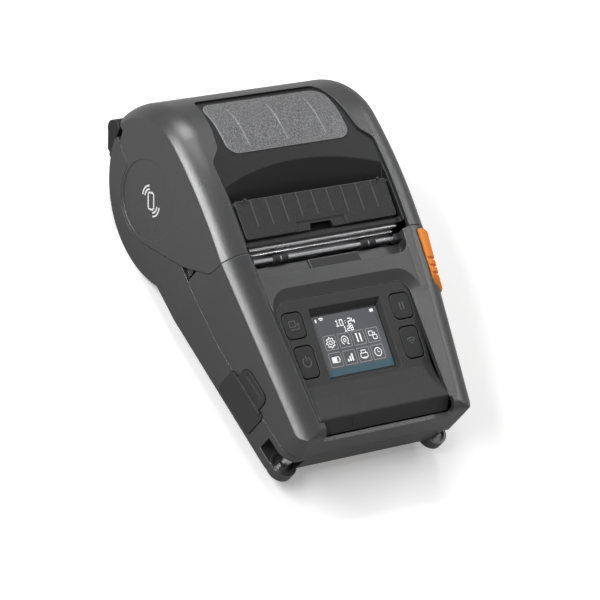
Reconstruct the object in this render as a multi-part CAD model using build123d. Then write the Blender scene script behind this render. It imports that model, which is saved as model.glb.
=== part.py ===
from build123d import *

import os
from math import acos, asin, atan2, cos, degrees, pi, radians, sin, sqrt, tan

# Mobile label printer lying on its back, in millimetres. +Z is up, +Y is the hinge end.
# The origin is on the flat that the printer rests on, under the middle of the case.
os.makedirs("parts", exist_ok=True)

# Half widths, from the roll outwards: each is the one before plus what lies between
MEDIA_HALF_W = 40.0
GUIDE_ROOM = 3.0
TUB_WALL = 1.6
SIDE_GAP = 0.45
WEB_T = 1.3
FIT = 0.15
SHOULDER_EDGE = 0.3
SHOULDER_W = 11.6
TUB_HALF_W = MEDIA_HALF_W + GUIDE_ROOM
WEB_IN = TUB_HALF_W + TUB_WALL + SIDE_GAP
WEB_OUT = WEB_IN + WEB_T
INSERT_HALF_W = WEB_OUT + FIT
HALF_W = INSERT_HALF_W + SHOULDER_EDGE + SHOULDER_W

# Beside the roll bay, outside the webs: bracket ears, gears and latch hooks
EAR_GAP = 0.35
EAR_T = 1.5
GEAR_GAP = 0.4
GEAR_W = 3.0
HOOK_T = 1.6
EAR_OUT = WEB_OUT + EAR_GAP + EAR_T
GEAR_X1 = -EAR_OUT - GEAR_GAP
GEAR_X0 = GEAR_X1 - GEAR_W
HOOK_IN = EAR_OUT + 4.0
HOOK_OUT = HOOK_IN + HOOK_T
SPAN = HALF_W + 12.0

# Case
TAPER = 0.102
TAPER_Y = -1.0
FRONT_Y = -86.0
FRONT_CORNER_R = 9.0
NOSE_R = 5.0
WALL = 2.2
SIDE_BOTTOM_Z = 7.7
SEAM_GAP = 0.3

# Roof line: a straight slope, a gentle crown, then a tight arc down to the hinge
SLOPE_DEG = 12.55
APEX_Y = 56.0
APEX_Z = 65.5
CROWN_R = 227.4
REAR_R = 34.5
REAR_END_DEG = 8.0

# Rounded shoulder between the sides and the roof
SHOULDER_H = 6.0
MIN_ARC_R = 0.2
SHOULDER_TURN_DEG = 41.0

# Parting lines in the side view, as (y, z)
SEAM_Y = -0.7
SEAM_BEND_Z = 47.5
SEAM_VERTEX = (0.5, 42.4)
SEAM_TRIPLE = (13.2, 29.0)
SIDE_SEAM = [(-2.9, 27.3), (-25.0, 23.7), (-50.0, 23.1), (-95.0, 24.6)]
LOBE_Y, LOBE_Z, LOBE_R = 47.5, 29.5, 20.2
LOBE_BLEND_R = 3.5
DISC_R = 18.3
DISC_DEPTH = 0.45

# Roll bulge and roll tub
BULGE_Y, BULGE_R = 41.5, 43.6
ROLL_Z = 34.2
TUB_R = 30.0

# Hinge
HINGE_Y, HINGE_Z = 86.2, 29.6
HINGE_R = 4.2
HINGE_PIN_R = 1.5
BARREL_END = HALF_W - 0.4
BARREL_IN = BARREL_END - 10.5
KNUCKLE_OUT = BARREL_IN - 0.3
KNUCKLE_IN = KNUCKLE_OUT - 11.2
BARREL_MID = KNUCKLE_IN - 9.0

# Running clearance of shafts, and the gap left between moving pieces
RUN = 0.05
GAP = 0.3

# Platen and its gear train
PLATEN_Y, PLATEN_Z = 9.5, 46.5
PLATEN_R = 6.2
PLATEN_SHAFT_R = 2.5
PLATEN_SHAFT_HALF = HOOK_OUT + 0.4
BEARING_R = 4.0
GEAR_MODULE = 0.8
PLATEN_TEETH, IDLER_TEETH, MOTOR_TEETH = 20, 20, 10
IDLER_PIN_R = 1.5
MOTOR_R = 9.0
MOTOR_SHAFT_R = 1.0

# Bezel, display and keys, on the sloping display plane
BEZEL_DEG = 14.6
BEZEL_Y, BEZEL_Z = -43.15, 43.05
BEZEL_T = 2.0
BEZEL_REAR_Y = -22.0
BEZEL_CORNER_R = 7.0
BEZEL_HALF_REAR, BEZEL_HALF_FRONT = 38.4, 36.8
BEZEL_EDGE = (-77.2, 39.7)
BEZEL_FOOT = (-82.1, 34.0)
GLASS_HALF_W, GLASS_HALF_L = 19.5, 14.4
GLASS_DEPTH = 2.6
GLASS_SHIFT = -0.9
LCD_RIM_HALF_W, LCD_RIM_HALF_L = 20.6, 16.5
KEY_GAP = 0.5
KEY_TRAVEL = 0.7
KEYS = {
    "feed_key": (-30.9, 10.3, 10.9, 11.6),
    "power_key": (-30.2, -6.6, 10.2, 14.4),
    "pause_key": (30.9, 10.3, 10.9, 11.6),
    "pair_key": (30.2, -6.6, 10.2, 14.4),
}

# Slanted wall between the rim of the front casing and the bezel, and the dish behind it
FLARE_DEG = 9.4
FLARE_REAR = (-22.0, 48.6)
FLARE_TAPER = 54.0
FLARE_WALL = 2.4
FLARE_LEDGE = 0.25
DISH_DEPTH = 2.0
DISH_HALF_REAR = INSERT_HALF_W - 2.5
DISH_HALF_FRONT = BEZEL_HALF_REAR + 3.9

# Recess in front of the paper exit
RECESS_HALF_W = WEB_IN - 1.55
RECESS_FRONT_Y = -11.3
RECESS_Z = 49.4
RECESS_REAR_Y = -4.6
ROD_Y, ROD_Z, ROD_R = -2.2, 50.9, 1.25
ROLLER_X, ROLLER_R, ROLLER_W = 25.2, 1.95, 3.2
RING_R, RING_W = 1.6, 1.3
PLATE_X, PLATE_Y, PLATE_T = (-9.9, 19.2), (-10.2, -4.75), 0.5

# Plan outline of the cover insert, each corner as (drawn in from the edge, y, corner radius)
INSERT_EDGE = [(0.0, 42.6, 5.0), (6.2, 48.6, 7.0), (11.7, 77.6, 4.0)]
# Step on the shoulders of the cover, each corner drawn in from the side of the case
STEP_EDGE = [(6.05, 22.0, 40.0), (8.4, 50.0, 40.0), (9.2, 80.0, 8.0)]
STEP_DEPTH = 0.5
# Window and peel flap
WINDOW_HALF_W = INSERT_HALF_W - 11.75
WINDOW_Y = (45.1, 74.0)
WINDOW_R = 6.0
CREST_END = (43.2, 31.8)
CREST_MID_Y = 38.4
SCOOP_SLOPE_DEG = 45.0
FLAP_HALF_W = WEB_IN - 1.95
FLAP_Y = (5.8, 23.0)
FLAP_Z = (58.0, 61.9)
FLAP_T = 2.0
FLAP_PIN = (FLAP_Y[1] - 1.0, FLAP_Z[1] - 1.6)
FLAP_PIN_R = 1.0
TEAR_HALF_W = FLAP_HALF_W - 0.7

# Lever and latch
LATCH_Y, LATCH_Z, LATCH_R = -2.0, 27.2, 1.6
LATCH_SWING = 8.0
LEVER_POINTS = [
    (-3.2, 60.0), (-4.5, 38.5), (-27.0, 34.0), (-30.5, 37.0), (-30.0, 46.0), (-24.5, 53.0), (-23.5, 60.0),
]
# The lever's grip wraps inward over the shoulder, above the arm of the latch hook
LEVER_PROUD = 1.3
LEVER_GRIP_X = HALF_W - 8.0
LEVER_GRIP_Z = 45.0
# Grooves across the grip
GROOVE_Y, GROOVE_PITCH, GROOVE_COUNT = -14.8, 3.6, 3
GROOVE_W, GROOVE_DEPTH, GROOVE_TILT_DEG = 1.4, 0.7, 12.0

# Case screws, two a side
SCREW_R, SCREW_HEAD_R = 1.3, 2.6
SCREW_X = (HALF_W - 14.4, HALF_W - 9.4)
SCREWS = [(-SCREW_X[0], -67.0), (SCREW_X[0], -67.0), (-SCREW_X[1], -34.0), (SCREW_X[1], -34.0)]

# Strap pockets in the front corners, each with an upright pin
STRAP_X = HALF_W - 19.9
STRAP_Y = -71.5
STRAP_Z = (12.0, 20.4)
STRAP_PIN_X, STRAP_PIN_Y, STRAP_PIN_R = HALF_W - 14.8, -81.4, 2.5
STRAP_LOBE_R = 6.4

# Left side door over the ports
DOOR_Y = (-63.3, -38.2)
DOOR_Z = (9.4, 24.0)
DOOR_TAB_Y = (-59.3, -42.0)
DOOR_TOP_Z = 32.6
DOOR_T = 2.0
PORT_Z = 16.5
USB_X, JACK_X = -4.5, 6.5
PORT_TOP = DOOR_T + 0.6
PORT_DEPTH = 12.0

# Battery: its bay starts behind the power jack
PORT_ROOM = 1.6
BAY_WALL = 1.8
PORT_SIDE_X = HALF_W - TAPER * (TAPER_Y - (DOOR_Y[0] + DOOR_Y[1]) / 2)
BATTERY_HALF_W = PORT_SIDE_X - PORT_DEPTH - PORT_ROOM - BAY_WALL - GAP
BATTERY_Y = (-71.6, 5.6)
BATTERY_TOP = 21.0
BAY_TOP = BATTERY_TOP + GAP + BAY_WALL


def outline(*points):
    """Closed flat face through the points."""
    return make_face(Polyline(*points, close=True))


def across(face, x0, x1):
    """Solid of a (y, z) face between two x positions."""
    return extrude(Plane.YZ.offset(x0) * face, amount=x1 - x0)


def block(x0, x1, y0, y1, z0, z1):
    centre = Pos((x0 + x1) / 2, (y0 + y1) / 2, (z0 + z1) / 2)
    return centre * Box(abs(x1 - x0), abs(y1 - y0), abs(z1 - z0))


def rod(x0, x1, y, z, r):
    """Round bar along X."""
    return Pos((x0 + x1) / 2, y, z) * Rot(0, 90, 0) * Cylinder(r, abs(x1 - x0))


def flip(part):
    return mirror(part, about=Plane.YZ)


def both(part):
    return part + flip(part)


def half_w(y):
    return HALF_W - TAPER * max(0.0, TAPER_Y - y)


def turn(face, angle_deg, axis_y, axis_z):
    """A (y, z) face turned about a point, positive from +Y towards +Z."""
    return Pos(axis_y, axis_z) * Rot(0, 0, angle_deg) * Pos(-axis_y, -axis_z) * face


SLOPE = radians(SLOPE_DEG)
CROWN_Y = APEX_Y - CROWN_R * sin(SLOPE)
CROWN_Z = APEX_Z - CROWN_R * (1 - cos(SLOPE))


def top_z(y, depth=0.0):
    """Height of the straight part of the roof line."""
    return CROWN_Z + (y - CROWN_Y) * tan(SLOPE) - depth / cos(SLOPE)


def on_arc(centre, r, angle_deg):
    a = radians(angle_deg)
    return (centre[0] + r * cos(a), centre[1] + r * sin(a))


def roof_face(depth, low=-10.0):
    """Everything under the roof line, set in by depth."""
    crown = (APEX_Y, APEX_Z - CROWN_R)
    rear = (APEX_Y, APEX_Z - REAR_R)
    start = on_arc(crown, CROWN_R - depth, 90 + SLOPE_DEG)
    front = (-95.0, top_z(-95.0, depth))
    end = on_arc(rear, REAR_R - depth, 0)
    edges = [
        Line(front, start),
        ThreePointArc(start, on_arc(crown, CROWN_R - depth, 90 + SLOPE_DEG / 2), (APEX_Y, APEX_Z - depth)),
        ThreePointArc((APEX_Y, APEX_Z - depth), on_arc(rear, REAR_R - depth, 45), end),
        Line(end, (end[0], low)),
        Line((end[0], low), (front[0], low)),
        Line((front[0], low), front),
    ]
    return make_face(edges)


# The shoulder is a small arc and a large arc that meet at one tangent
A = radians(SHOULDER_TURN_DEG)
DET = (1 - cos(A)) * (1 - sin(A)) - cos(A) * sin(A)
SMALL_R = (SHOULDER_W * (1 - sin(A)) - cos(A) * SHOULDER_H) / DET
LARGE_R = ((1 - cos(A)) * SHOULDER_H - sin(A) * SHOULDER_W) / DET


def shoulder_half(half, top, bottom, inset):
    """Right half of the cross-section, from the bottom of the side to the end of the shoulder."""
    small = (half - SMALL_R, top - SHOULDER_H)
    large = (half - SHOULDER_W, top - LARGE_R)
    turn_mid = SHOULDER_TURN_DEG / 2
    p0 = (half - inset, bottom)
    if SMALL_R - inset < MIN_ARC_R:
        # Deep inside, the small arc is gone and the side meets the large arc in a corner
        corner_deg = degrees(acos((SHOULDER_W - inset) / (LARGE_R - inset)))
        corner, crest = [on_arc(large, LARGE_R - inset, a) for a in (corner_deg, 90)]
        mid = on_arc(large, LARGE_R - inset, 45 + corner_deg / 2)
        return [Line(p0, corner), ThreePointArc(corner, mid, crest)]
    p1 = on_arc(small, SMALL_R - inset, 0)
    p2 = on_arc(small, SMALL_R - inset, SHOULDER_TURN_DEG)
    p3 = on_arc(large, LARGE_R - inset, 90)
    mid1 = on_arc(small, SMALL_R - inset, turn_mid)
    mid2 = on_arc(large, LARGE_R - inset, 45 + turn_mid)
    return [Line(p0, p1), ThreePointArc(p1, mid1, p2), ThreePointArc(p2, mid2, p3)]


def section_face(half, top, bottom, inset):
    """Closed cross-section of the case, symmetrical about x = 0."""
    right = shoulder_half(half, top, bottom, inset)
    left = [mirror(edge, about=Plane.YZ) for edge in right]
    x_top = half - SHOULDER_W
    edges = right + left
    edges.append(Line((x_top, top - inset), (-x_top, top - inset)))
    edges.append(Line((-half + inset, bottom), (half - inset, bottom)))
    return make_face(edges)


def cross_plane(y, z=0.0, tilt=0.0):
    """Plane across the case, its local y pointing up, leaned back by tilt degrees."""
    t = radians(tilt)
    return Plane(origin=(0, y, z), x_dir=(1, 0, 0), z_dir=(0, -cos(t), -sin(t)))


def plan_face(inset=0.0):
    """Plan outline of the case with its drawn-in front."""
    wf = half_w(FRONT_Y)
    face = outline(
        (HALF_W, 95), (HALF_W, TAPER_Y), (wf, FRONT_Y),
        (-wf, FRONT_Y), (-HALF_W, TAPER_Y), (-HALF_W, 95),
    )
    corners = face.vertices().sort_by(Axis.Y)[:2]
    face = fillet(corners, FRONT_CORNER_R)
    return offset(face, amount=-inset) if inset else face


def plan_prism(inset=0.0):
    return extrude(Plane.XY.offset(-20) * plan_face(inset), amount=120)


def nose_face(inset=0.0):
    """Side view of the front casing, with its rounded nose."""
    lift = 0.03
    face = outline(
        (20, -20), (-84.6, -20), (-84.6, SIDE_BOTTOM_Z), (FRONT_Y, 24.4),
        (-84.2, top_z(-84.2) + lift), (20, top_z(20) + lift),
    )
    nose = face.vertices().sort_by_distance((-84.2, top_z(-84.2) + lift, 0))[0]
    face = fillet(nose, NOSE_R)
    return offset(face, amount=-inset) if inset else face


def casing_solid(inset):
    """Solid form of the front casing, set in by inset."""
    grow = 0.03
    y0, y1 = 6.0, -95.0
    rear_half = half_w(TAPER_Y) + TAPER * (y0 - TAPER_Y)
    rear = cross_plane(y0) * section_face(rear_half + grow, top_z(y0), -5, inset)
    front = cross_plane(y1) * section_face(half_w(y1) + grow, top_z(y1), -5, inset)
    form = loft([rear, front], ruled=True)
    return form & plan_prism(inset) & across(nose_face(inset), -SPAN, SPAN)


def cover_region():
    """Side view of all that swings with the cover."""
    reach = sqrt((LOBE_Y - SEAM_TRIPLE[0]) ** 2 + (LOBE_Z - SEAM_TRIPLE[1]) ** 2)
    dip = asin(LOBE_R / reach) - atan2(LOBE_Z - SEAM_TRIPLE[1], LOBE_Y - SEAM_TRIPLE[0])
    run = sqrt(reach ** 2 - LOBE_R ** 2)
    tangent = (SEAM_TRIPLE[0] + run * cos(dip), SEAM_TRIPLE[1] - run * sin(dip))
    face = outline(
        (SEAM_Y, 90), (SEAM_Y, SEAM_BEND_Z), SEAM_VERTEX, SEAM_TRIPLE, tangent,
        (LOBE_Y, LOBE_Z), (LOBE_Y + LOBE_R - 0.4, LOBE_Z - 1.5), (HINGE_Y - 8.2, HINGE_Z - 0.1),
        (HINGE_Y - 6.8, HINGE_Z + 1.4), (HINGE_Y - 4.8, HINGE_Z + 5.6), (HINGE_Y + 12, HINGE_Z + 5.6),
        (HINGE_Y + 12, 90),
    )
    face = face + Pos(LOBE_Y, LOBE_Z) * Circle(LOBE_R)
    corner = face.vertices().sort_by_distance((LOBE_Y + LOBE_R, LOBE_Z - 1.5, 0))[0]
    return fillet(corner, LOBE_BLEND_R)


def front_region():
    rear = [(SEAM_Y, 90), (SEAM_Y, SEAM_BEND_Z), SEAM_VERTEX, SEAM_TRIPLE]
    return outline((-100, 90), *rear, *SIDE_SEAM, (-100, 24.6))


COVER_FACE = cover_region()
COVER_CUT = offset(COVER_FACE, amount=SEAM_GAP)
FRONT_FACE = front_region() - COVER_CUT
FRONT_CUT = offset(front_region(), amount=SEAM_GAP)

# Gear centres: platen, idler and motor, each pair at its pitch distance
IDLER_DIST = GEAR_MODULE * (PLATEN_TEETH + IDLER_TEETH) / 2
MOTOR_DIST = GEAR_MODULE * (IDLER_TEETH + MOTOR_TEETH) / 2
IDLER_DEG, MOTOR_DEG = 210.0, 205.0
IDLER_Y, IDLER_Z = on_arc((PLATEN_Y, PLATEN_Z), IDLER_DIST, IDLER_DEG)
MOTOR_Y, MOTOR_Z = on_arc((IDLER_Y, IDLER_Z), MOTOR_DIST, MOTOR_DEG)


def gear_face(teeth, phase_deg, bore):
    """Straight-flanked gear, a tooth centred on phase_deg."""
    pitch_r = GEAR_MODULE * teeth / 2
    root, tip = pitch_r - 1.2 * GEAR_MODULE, pitch_r + 0.85 * GEAR_MODULE
    step = 360 / teeth
    face = Circle(root + 0.02) - Circle(bore)
    points = []
    for i in range(teeth):
        mid = phase_deg + i * step
        for r, share in ((root, -0.36), (tip, -0.12), (tip, 0.12), (root, 0.36)):
            points.append(on_arc((0, 0), r, mid + share * step))
    return outline(*points) - Circle(bore) + face


def gear(teeth, y, z, phase_deg, bore, x0=GEAR_X0, x1=GEAR_X1):
    return across(Pos(y, z) * gear_face(teeth, phase_deg, bore), x0, x1)


def bezel_plane(depth=0.0):
    b = radians(BEZEL_DEG)
    normal = (0, -sin(b), cos(b))
    origin = (0, BEZEL_Y + depth * sin(b), BEZEL_Z - depth * cos(b))
    return Plane(origin=origin, x_dir=(1, 0, 0), z_dir=normal)


def side_plane(y0):
    """Plane on the left side face: local x to the front, local y up, local z outwards."""
    return Plane(origin=(-half_w(y0), y0, 0), x_dir=(TAPER, -1, 0), z_dir=(-1, -TAPER, 0))


NODES = {}


def keep(name, shape):
    shape.label = name
    NODES[name] = shape


# Base shell
def base_face(inset=0.0):
    face = outline(
        (FRONT_Y + 0.4, 30), (FRONT_Y, 24.4), (-84.6, 12.0), (-80.5, SIDE_BOTTOM_Z),
        (BULGE_Y - 20, SIDE_BOTTOM_Z), (BULGE_Y, 12.0), (BULGE_Y, 30),
    )
    face = face + Pos(BULGE_Y, BULGE_R) * Circle(BULGE_R)
    return offset(face, amount=-inset) if inset else face


LOW_FACE = outline(
    (-110, -10), (110, -10), (110, HINGE_Z - 0.3), (SEAM_TRIPLE[0], SEAM_TRIPLE[1] + 3), (-110, 32),
)
BASE_FACE = LOW_FACE - COVER_CUT - FRONT_CUT


def strap_pockets():
    """Corner pockets for a strap, open to the side and the front."""
    return both(block(STRAP_X, SPAN, FRONT_Y - 6, STRAP_Y, *STRAP_Z))


def strap_lobes():
    """Round lobes that carry the strap pins, each with a rim round a shallow pan."""
    top = STRAP_Z[0] + 0.2
    mid_z = (SIDE_BOTTOM_Z + top) / 2
    lobe = Pos(STRAP_PIN_X, STRAP_PIN_Y, mid_z) * Cylinder(STRAP_LOBE_R, top - SIDE_BOTTOM_Z)
    pan = Pos(STRAP_PIN_X, STRAP_PIN_Y, top) * Cylinder(STRAP_LOBE_R - 1.4, 1.8)
    return both(lobe), both(pan)


def seam_tabs():
    """Tongues of the base that close the joint of the three shells from the inside."""
    face = Pos(*SEAM_TRIPLE) * Circle(5.0)
    x1 = HALF_W - WALL - GAP
    foot = across(face & BASE_FACE, x1 - 0.1, HALF_W - 0.5)
    return both(across(face, x1 - 1.6, x1) + foot)


def build_base():
    outer = across(base_face(), -SPAN, SPAN) & plan_prism()
    inner = across(base_face(WALL), -SPAN, SPAN) & plan_prism(WALL)
    shell = (outer - inner) & across(BASE_FACE, -SPAN, SPAN)
    half = BATTERY_HALF_W + GAP
    y0, y1 = BATTERY_Y[0] - GAP, BATTERY_Y[1] + GAP
    bay_out = block(-half - BAY_WALL, half + BAY_WALL, y0 - BAY_WALL, y1 + BAY_WALL, 0, BAY_TOP)
    bay_out = fillet(bay_out.edges().filter_by(Axis.Z), 3.0)
    bay_in = block(-half, half, y0, y1, -5, BATTERY_TOP + GAP)
    corner_wall = both(block(STRAP_X - 2, half_w(STRAP_Y) - 1, FRONT_Y + 1.0, STRAP_Y + 1.8,
                             SIDE_BOTTOM_Z + 1, STRAP_Z[1] + 1.8)) & outer
    lobes, pans = strap_lobes()
    shell = shell + corner_wall + bay_out - strap_pockets() + lobes - pans - bay_in + seam_tabs()
    return shell - rod(-SPAN, SPAN, HINGE_Y, HINGE_Z, HINGE_R + GAP)


BASE = build_base()


# Front casing
def bezel_profile(depth, beyond=0.0):
    """Side view of all that lies under the bezel's upper surface, set in by depth."""
    b = radians(BEZEL_DEG)
    rear_y = BEZEL_REAR_Y - 0.2 + beyond
    rear = (rear_y, BEZEL_Z + (rear_y - BEZEL_Y) * tan(b))
    bend = (-60.5, BEZEL_Z + (-60.5 - BEZEL_Y) * tan(b))
    low = (-67.0, 38.2)
    face = outline(rear, bend, low, BEZEL_EDGE, BEZEL_FOOT, (BEZEL_FOOT[0], -10), (rear[0], -10))
    for corner, r in ((bend, 6.0), (low, 6.0), (BEZEL_EDGE, 1.6)):
        face = fillet(face.vertices().sort_by_distance((corner[0], corner[1], 0))[0], r)
    return offset(face, amount=-depth) if depth else face


def bezel_face(rear_y, front_y):
    """Outline of the bezel between two y values, round at its rear corners."""
    face = outline(
        (-BEZEL_HALF_REAR, rear_y), (BEZEL_HALF_REAR, rear_y),
        (BEZEL_HALF_FRONT, front_y), (-BEZEL_HALF_FRONT, front_y),
    )
    return fillet(face.vertices().sort_by(Axis.Y)[-2:], BEZEL_CORNER_R)


def bezel_opening():
    """Straight opening for the bezel, open to the front above the bezel's foot."""
    straight = extrude(Plane.XY.offset(25) * bezel_face(BEZEL_REAR_Y, FRONT_Y - 6), amount=60)
    foot = BEZEL_FOOT[1] - 0.2
    return straight & across(outline((-95, foot), (0, foot), (0, 95), (-95, 95)), -SPAN, SPAN)


def flare(drop):
    """Room above the bezel's edge that opens out to the rim, lowered by drop."""
    f = radians(FLARE_DEG)
    origin = (0, FLARE_REAR[0] + drop * sin(f), FLARE_REAR[1] - drop * cos(f))
    plane = Plane(origin=origin, x_dir=(1, 0, 0), z_dir=(0, -sin(f), cos(f)))
    base = offset(bezel_face(0, (FRONT_Y - 12 - FLARE_REAR[0]) / cos(f)), amount=FLARE_LEDGE)
    room = extrude(plane * base, amount=8, taper=-FLARE_TAPER)
    reach = outline((-76.5, 30), (0, 30), (0, 95), (-80.5, 95), (-80.5, 42.5), (-76.5, 38))
    return room & across(reach, -SPAN, SPAN)


def dish(drop):
    """Shallow dish between the rims, behind the bezel, lowered by drop."""
    origin = (0, 0, top_z(0, DISH_DEPTH + drop))
    plane = Plane(origin=origin, x_dir=(1, 0, 0), z_dir=(0, -sin(SLOPE), cos(SLOPE)))
    rear, front = DISH_HALF_REAR, DISH_HALF_FRONT
    face = outline((-rear, 8), (rear, 8), (front, -30), (-front, -30))
    face = fillet(face.vertices().sort_by(Axis.Y)[:2], 4.0)
    return extrude(plane * face, amount=4 + drop, taper=-FLARE_TAPER)


def build_front():
    shell = casing_solid(0) - casing_solid(WALL)
    # Walls and floor round the recess in front of the paper exit, and the wall under flare and dish
    t = 1.5
    walls = block(-RECESS_HALF_W - t, RECESS_HALF_W + t, RECESS_FRONT_Y - t, SEAM_Y, RECESS_Z - t, 70)
    walls = (walls + flare(FLARE_WALL) + dish(WALL)) & casing_solid(0.3)
    shell = shell + walls - dish(0) - flare(0)
    half = RECESS_HALF_W
    recess = block(-half, half, RECESS_FRONT_Y, RECESS_FRONT_Y + 24, RECESS_Z, RECESS_Z + 40)
    recess = fillet(recess.edges().filter_by(Axis.Z).sort_by(Axis.Y)[:2], 6.0)
    shell = shell - recess - block(-half, half, RECESS_REAR_Y, 10, RECESS_Z - 8, 70)
    shell = (shell - bezel_opening()) & across(FRONT_FACE, -SPAN, SPAN)
    # Bosses for the case screws, up to the inside of the shoulders
    for x, y in SCREWS:
        boss = Pos(x, y, 40) * Cylinder(3.2, 30)
        boss = boss & casing_solid(1.0) & across(FRONT_FACE, -SPAN, SPAN)
        shell = shell + boss - Pos(x, y, 17.6) * Cylinder(SCREW_R + 0.1, 24)
    return shell


FRONT = build_front()

# Side door outline, in the side plane's own axes
DOOR_PLANE = side_plane((DOOR_Y[0] + DOOR_Y[1]) / 2)


def door_face(grow=0.0):
    k = sqrt(1 + TAPER ** 2)
    mid = (DOOR_Y[0] + DOOR_Y[1]) / 2
    length = (DOOR_Y[1] - DOOR_Y[0]) * k
    low = Pos(0, (DOOR_Z[0] + DOOR_Z[1]) / 2) * RectangleRounded(
        length + 2 * grow, DOOR_Z[1] - DOOR_Z[0] + 2 * grow, 2.0 + grow)
    tab_mid = (mid - (DOOR_TAB_Y[0] + DOOR_TAB_Y[1]) / 2) * k
    tab_z0 = DOOR_Z[1] - 6
    tab = Pos(tab_mid, (tab_z0 + DOOR_TOP_Z) / 2) * RectangleRounded(
        (DOOR_TAB_Y[1] - DOOR_TAB_Y[0]) * k + 2 * grow, DOOR_TOP_Z - tab_z0 + 2 * grow, 4.0 + grow)
    return low + tab


door_hole = extrude(DOOR_PLANE.offset(-4) * door_face(GAP), amount=10)
BASE = BASE - door_hole
FRONT = FRONT - door_hole

# Lever window: the room that the lever sweeps, in the right side of the casing
lever_face = outline(*LEVER_POINTS)
lever_face = fillet(lever_face.vertices(), 2.0)
lever_room = offset(lever_face, amount=GAP + 0.1)
sweep_room = lever_room
for swing in (LATCH_SWING / 2, LATCH_SWING):
    sweep_room = sweep_room + turn(lever_room, swing, LATCH_Y, LATCH_Z)
FRONT = FRONT - across(sweep_room, LEVER_GRIP_X - GAP - 0.1, SPAN)

keep("base_shell", BASE)
keep("front_casing", FRONT)


# Media cover
def plan_edge(half, corners, grow=0.0):
    """Plan outline that narrows to the rear, through corners drawn in from half."""
    right = [(half + grow, SEAM_Y - 5)] + [(half - inset + grow, y) for inset, y, _ in corners]
    right[-1] = (right[-1][0], right[-1][1] + grow)
    left = [(-x, y) for x, y in reversed(right)]
    face = outline(*right, *left)
    for inset, y, r in corners:
        for side in (-1, 1):
            spot = (side * (half - inset + grow), y, 0)
            face = fillet(face.vertices().sort_by_distance(spot)[0], r)
    return extrude(Plane.XY.offset(30) * face, amount=60)


def roof_sweep(ring):
    """A ring drawn with its top at zero, swept along the roof line of the cover."""
    straight_len = (CROWN_Y - SEAM_Y) / cos(SLOPE) + 3
    start = cross_plane(CROWN_Y, CROWN_Z, SLOPE_DEG)
    straight = extrude(start * ring, amount=straight_len)
    level = cross_plane(APEX_Y, APEX_Z)
    crown_axis = Axis((0, APEX_Y, APEX_Z - CROWN_R), (1, 0, 0))
    crown = revolve(level * ring, crown_axis, SLOPE_DEG)
    rear_axis = Axis((0, APEX_Y, APEX_Z - REAR_R), (-1, 0, 0))
    rear = revolve(level * ring, rear_axis, 90 - REAR_END_DEG)
    return straight + crown + rear


def build_cover():
    depth = 16.0
    roof = roof_sweep(section_face(HALF_W, 0, -depth, 0) - section_face(HALF_W, 0, -depth - 4, WALL))
    cheek_face = COVER_FACE & roof_face(9.0)
    cheek = across(cheek_face, HALF_W - WALL, HALF_W)
    shell = roof + both(cheek)
    shell = shell & across(COVER_FACE, -SPAN, SPAN)
    disc = Pos(-HALF_W, LOBE_Y + 0.9, LOBE_Z - 0.6) * Rot(0, 90, 0) * Cylinder(DISC_R, 2 * DISC_DEPTH)
    shell = shell - disc
    # Low step inside the shoulders, and the opening for the insert
    skin = roof_sweep(section_face(HALF_W, 0, -4, -STEP_DEPTH) - section_face(HALF_W, 0, -8, STEP_DEPTH))
    shell = shell - (skin & plan_edge(HALF_W, STEP_EDGE)) - plan_edge(INSERT_HALF_W, INSERT_EDGE)
    # Knuckles on the hinge pin, each on a web from the rear wall
    x0, x1 = KNUCKLE_IN, KNUCKLE_OUT
    web_top = on_arc((APEX_Y, APEX_Z - REAR_R), REAR_R - 0.6, REAR_END_DEG + 6)
    web_in = on_arc((APEX_Y, APEX_Z - REAR_R), REAR_R - WALL, REAR_END_DEG + 4)
    web_face = outline(web_top, web_in, (HINGE_Y - 3.9, HINGE_Z + 1), (HINGE_Y + 3.9, HINGE_Z + 1))
    web = across(web_face, x0, x1)
    knuckle = rod(x0, x1, HINGE_Y, HINGE_Z, HINGE_R) + web
    shell = shell + both(knuckle)
    bore = both(rod(x0 - 1, x1 + 1, HINGE_Y, HINGE_Z, HINGE_PIN_R + RUN))
    return shell - bore


keep("media_cover", build_cover())


# Cover insert
def roof_band(x_half, depth0, depth1, y0, y1):
    """Part of the roof between two depths, flat across the case."""
    band = roof_face(depth0) - roof_face(depth1)
    return across(band, -x_half, x_half) & block(-x_half, x_half, y0, y1, 38, 90)


CREST_R = (CREST_END[0] ** 2 + (CREST_MID_Y - CREST_END[1]) ** 2) / (2 * (CREST_MID_Y - CREST_END[1]))
INSERT_DEPTH = 0.9
INSERT_T = 2.0
CREST_DROP = 0.6
PANE_DEPTH = INSERT_DEPTH - 0.4
SEAT_DEPTH = INSERT_DEPTH + 1.2


def scoop_ball(extra):
    """Ball whose surface is the finger scoop; its crest is an arc across the cover."""
    rise = CREST_R / tan(radians(SCOOP_SLOPE_DEG))
    r = sqrt(CREST_R ** 2 + rise ** 2)
    crest_z = APEX_Z - INSERT_DEPTH - CREST_DROP
    return Pos(0, CREST_MID_Y - CREST_R, crest_z + rise) * Sphere(r + extra)


def window_prism(grow):
    """Upright prism over the outline of the window."""
    mid, length = (WINDOW_Y[0] + WINDOW_Y[1]) / 2, WINDOW_Y[1] - WINDOW_Y[0]
    face = RectangleRounded(2 * (WINDOW_HALF_W + grow), length + 2 * grow, WINDOW_R + grow)
    return extrude(Plane.XY.offset(30) * Pos(0, mid) * face, amount=60)


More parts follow.
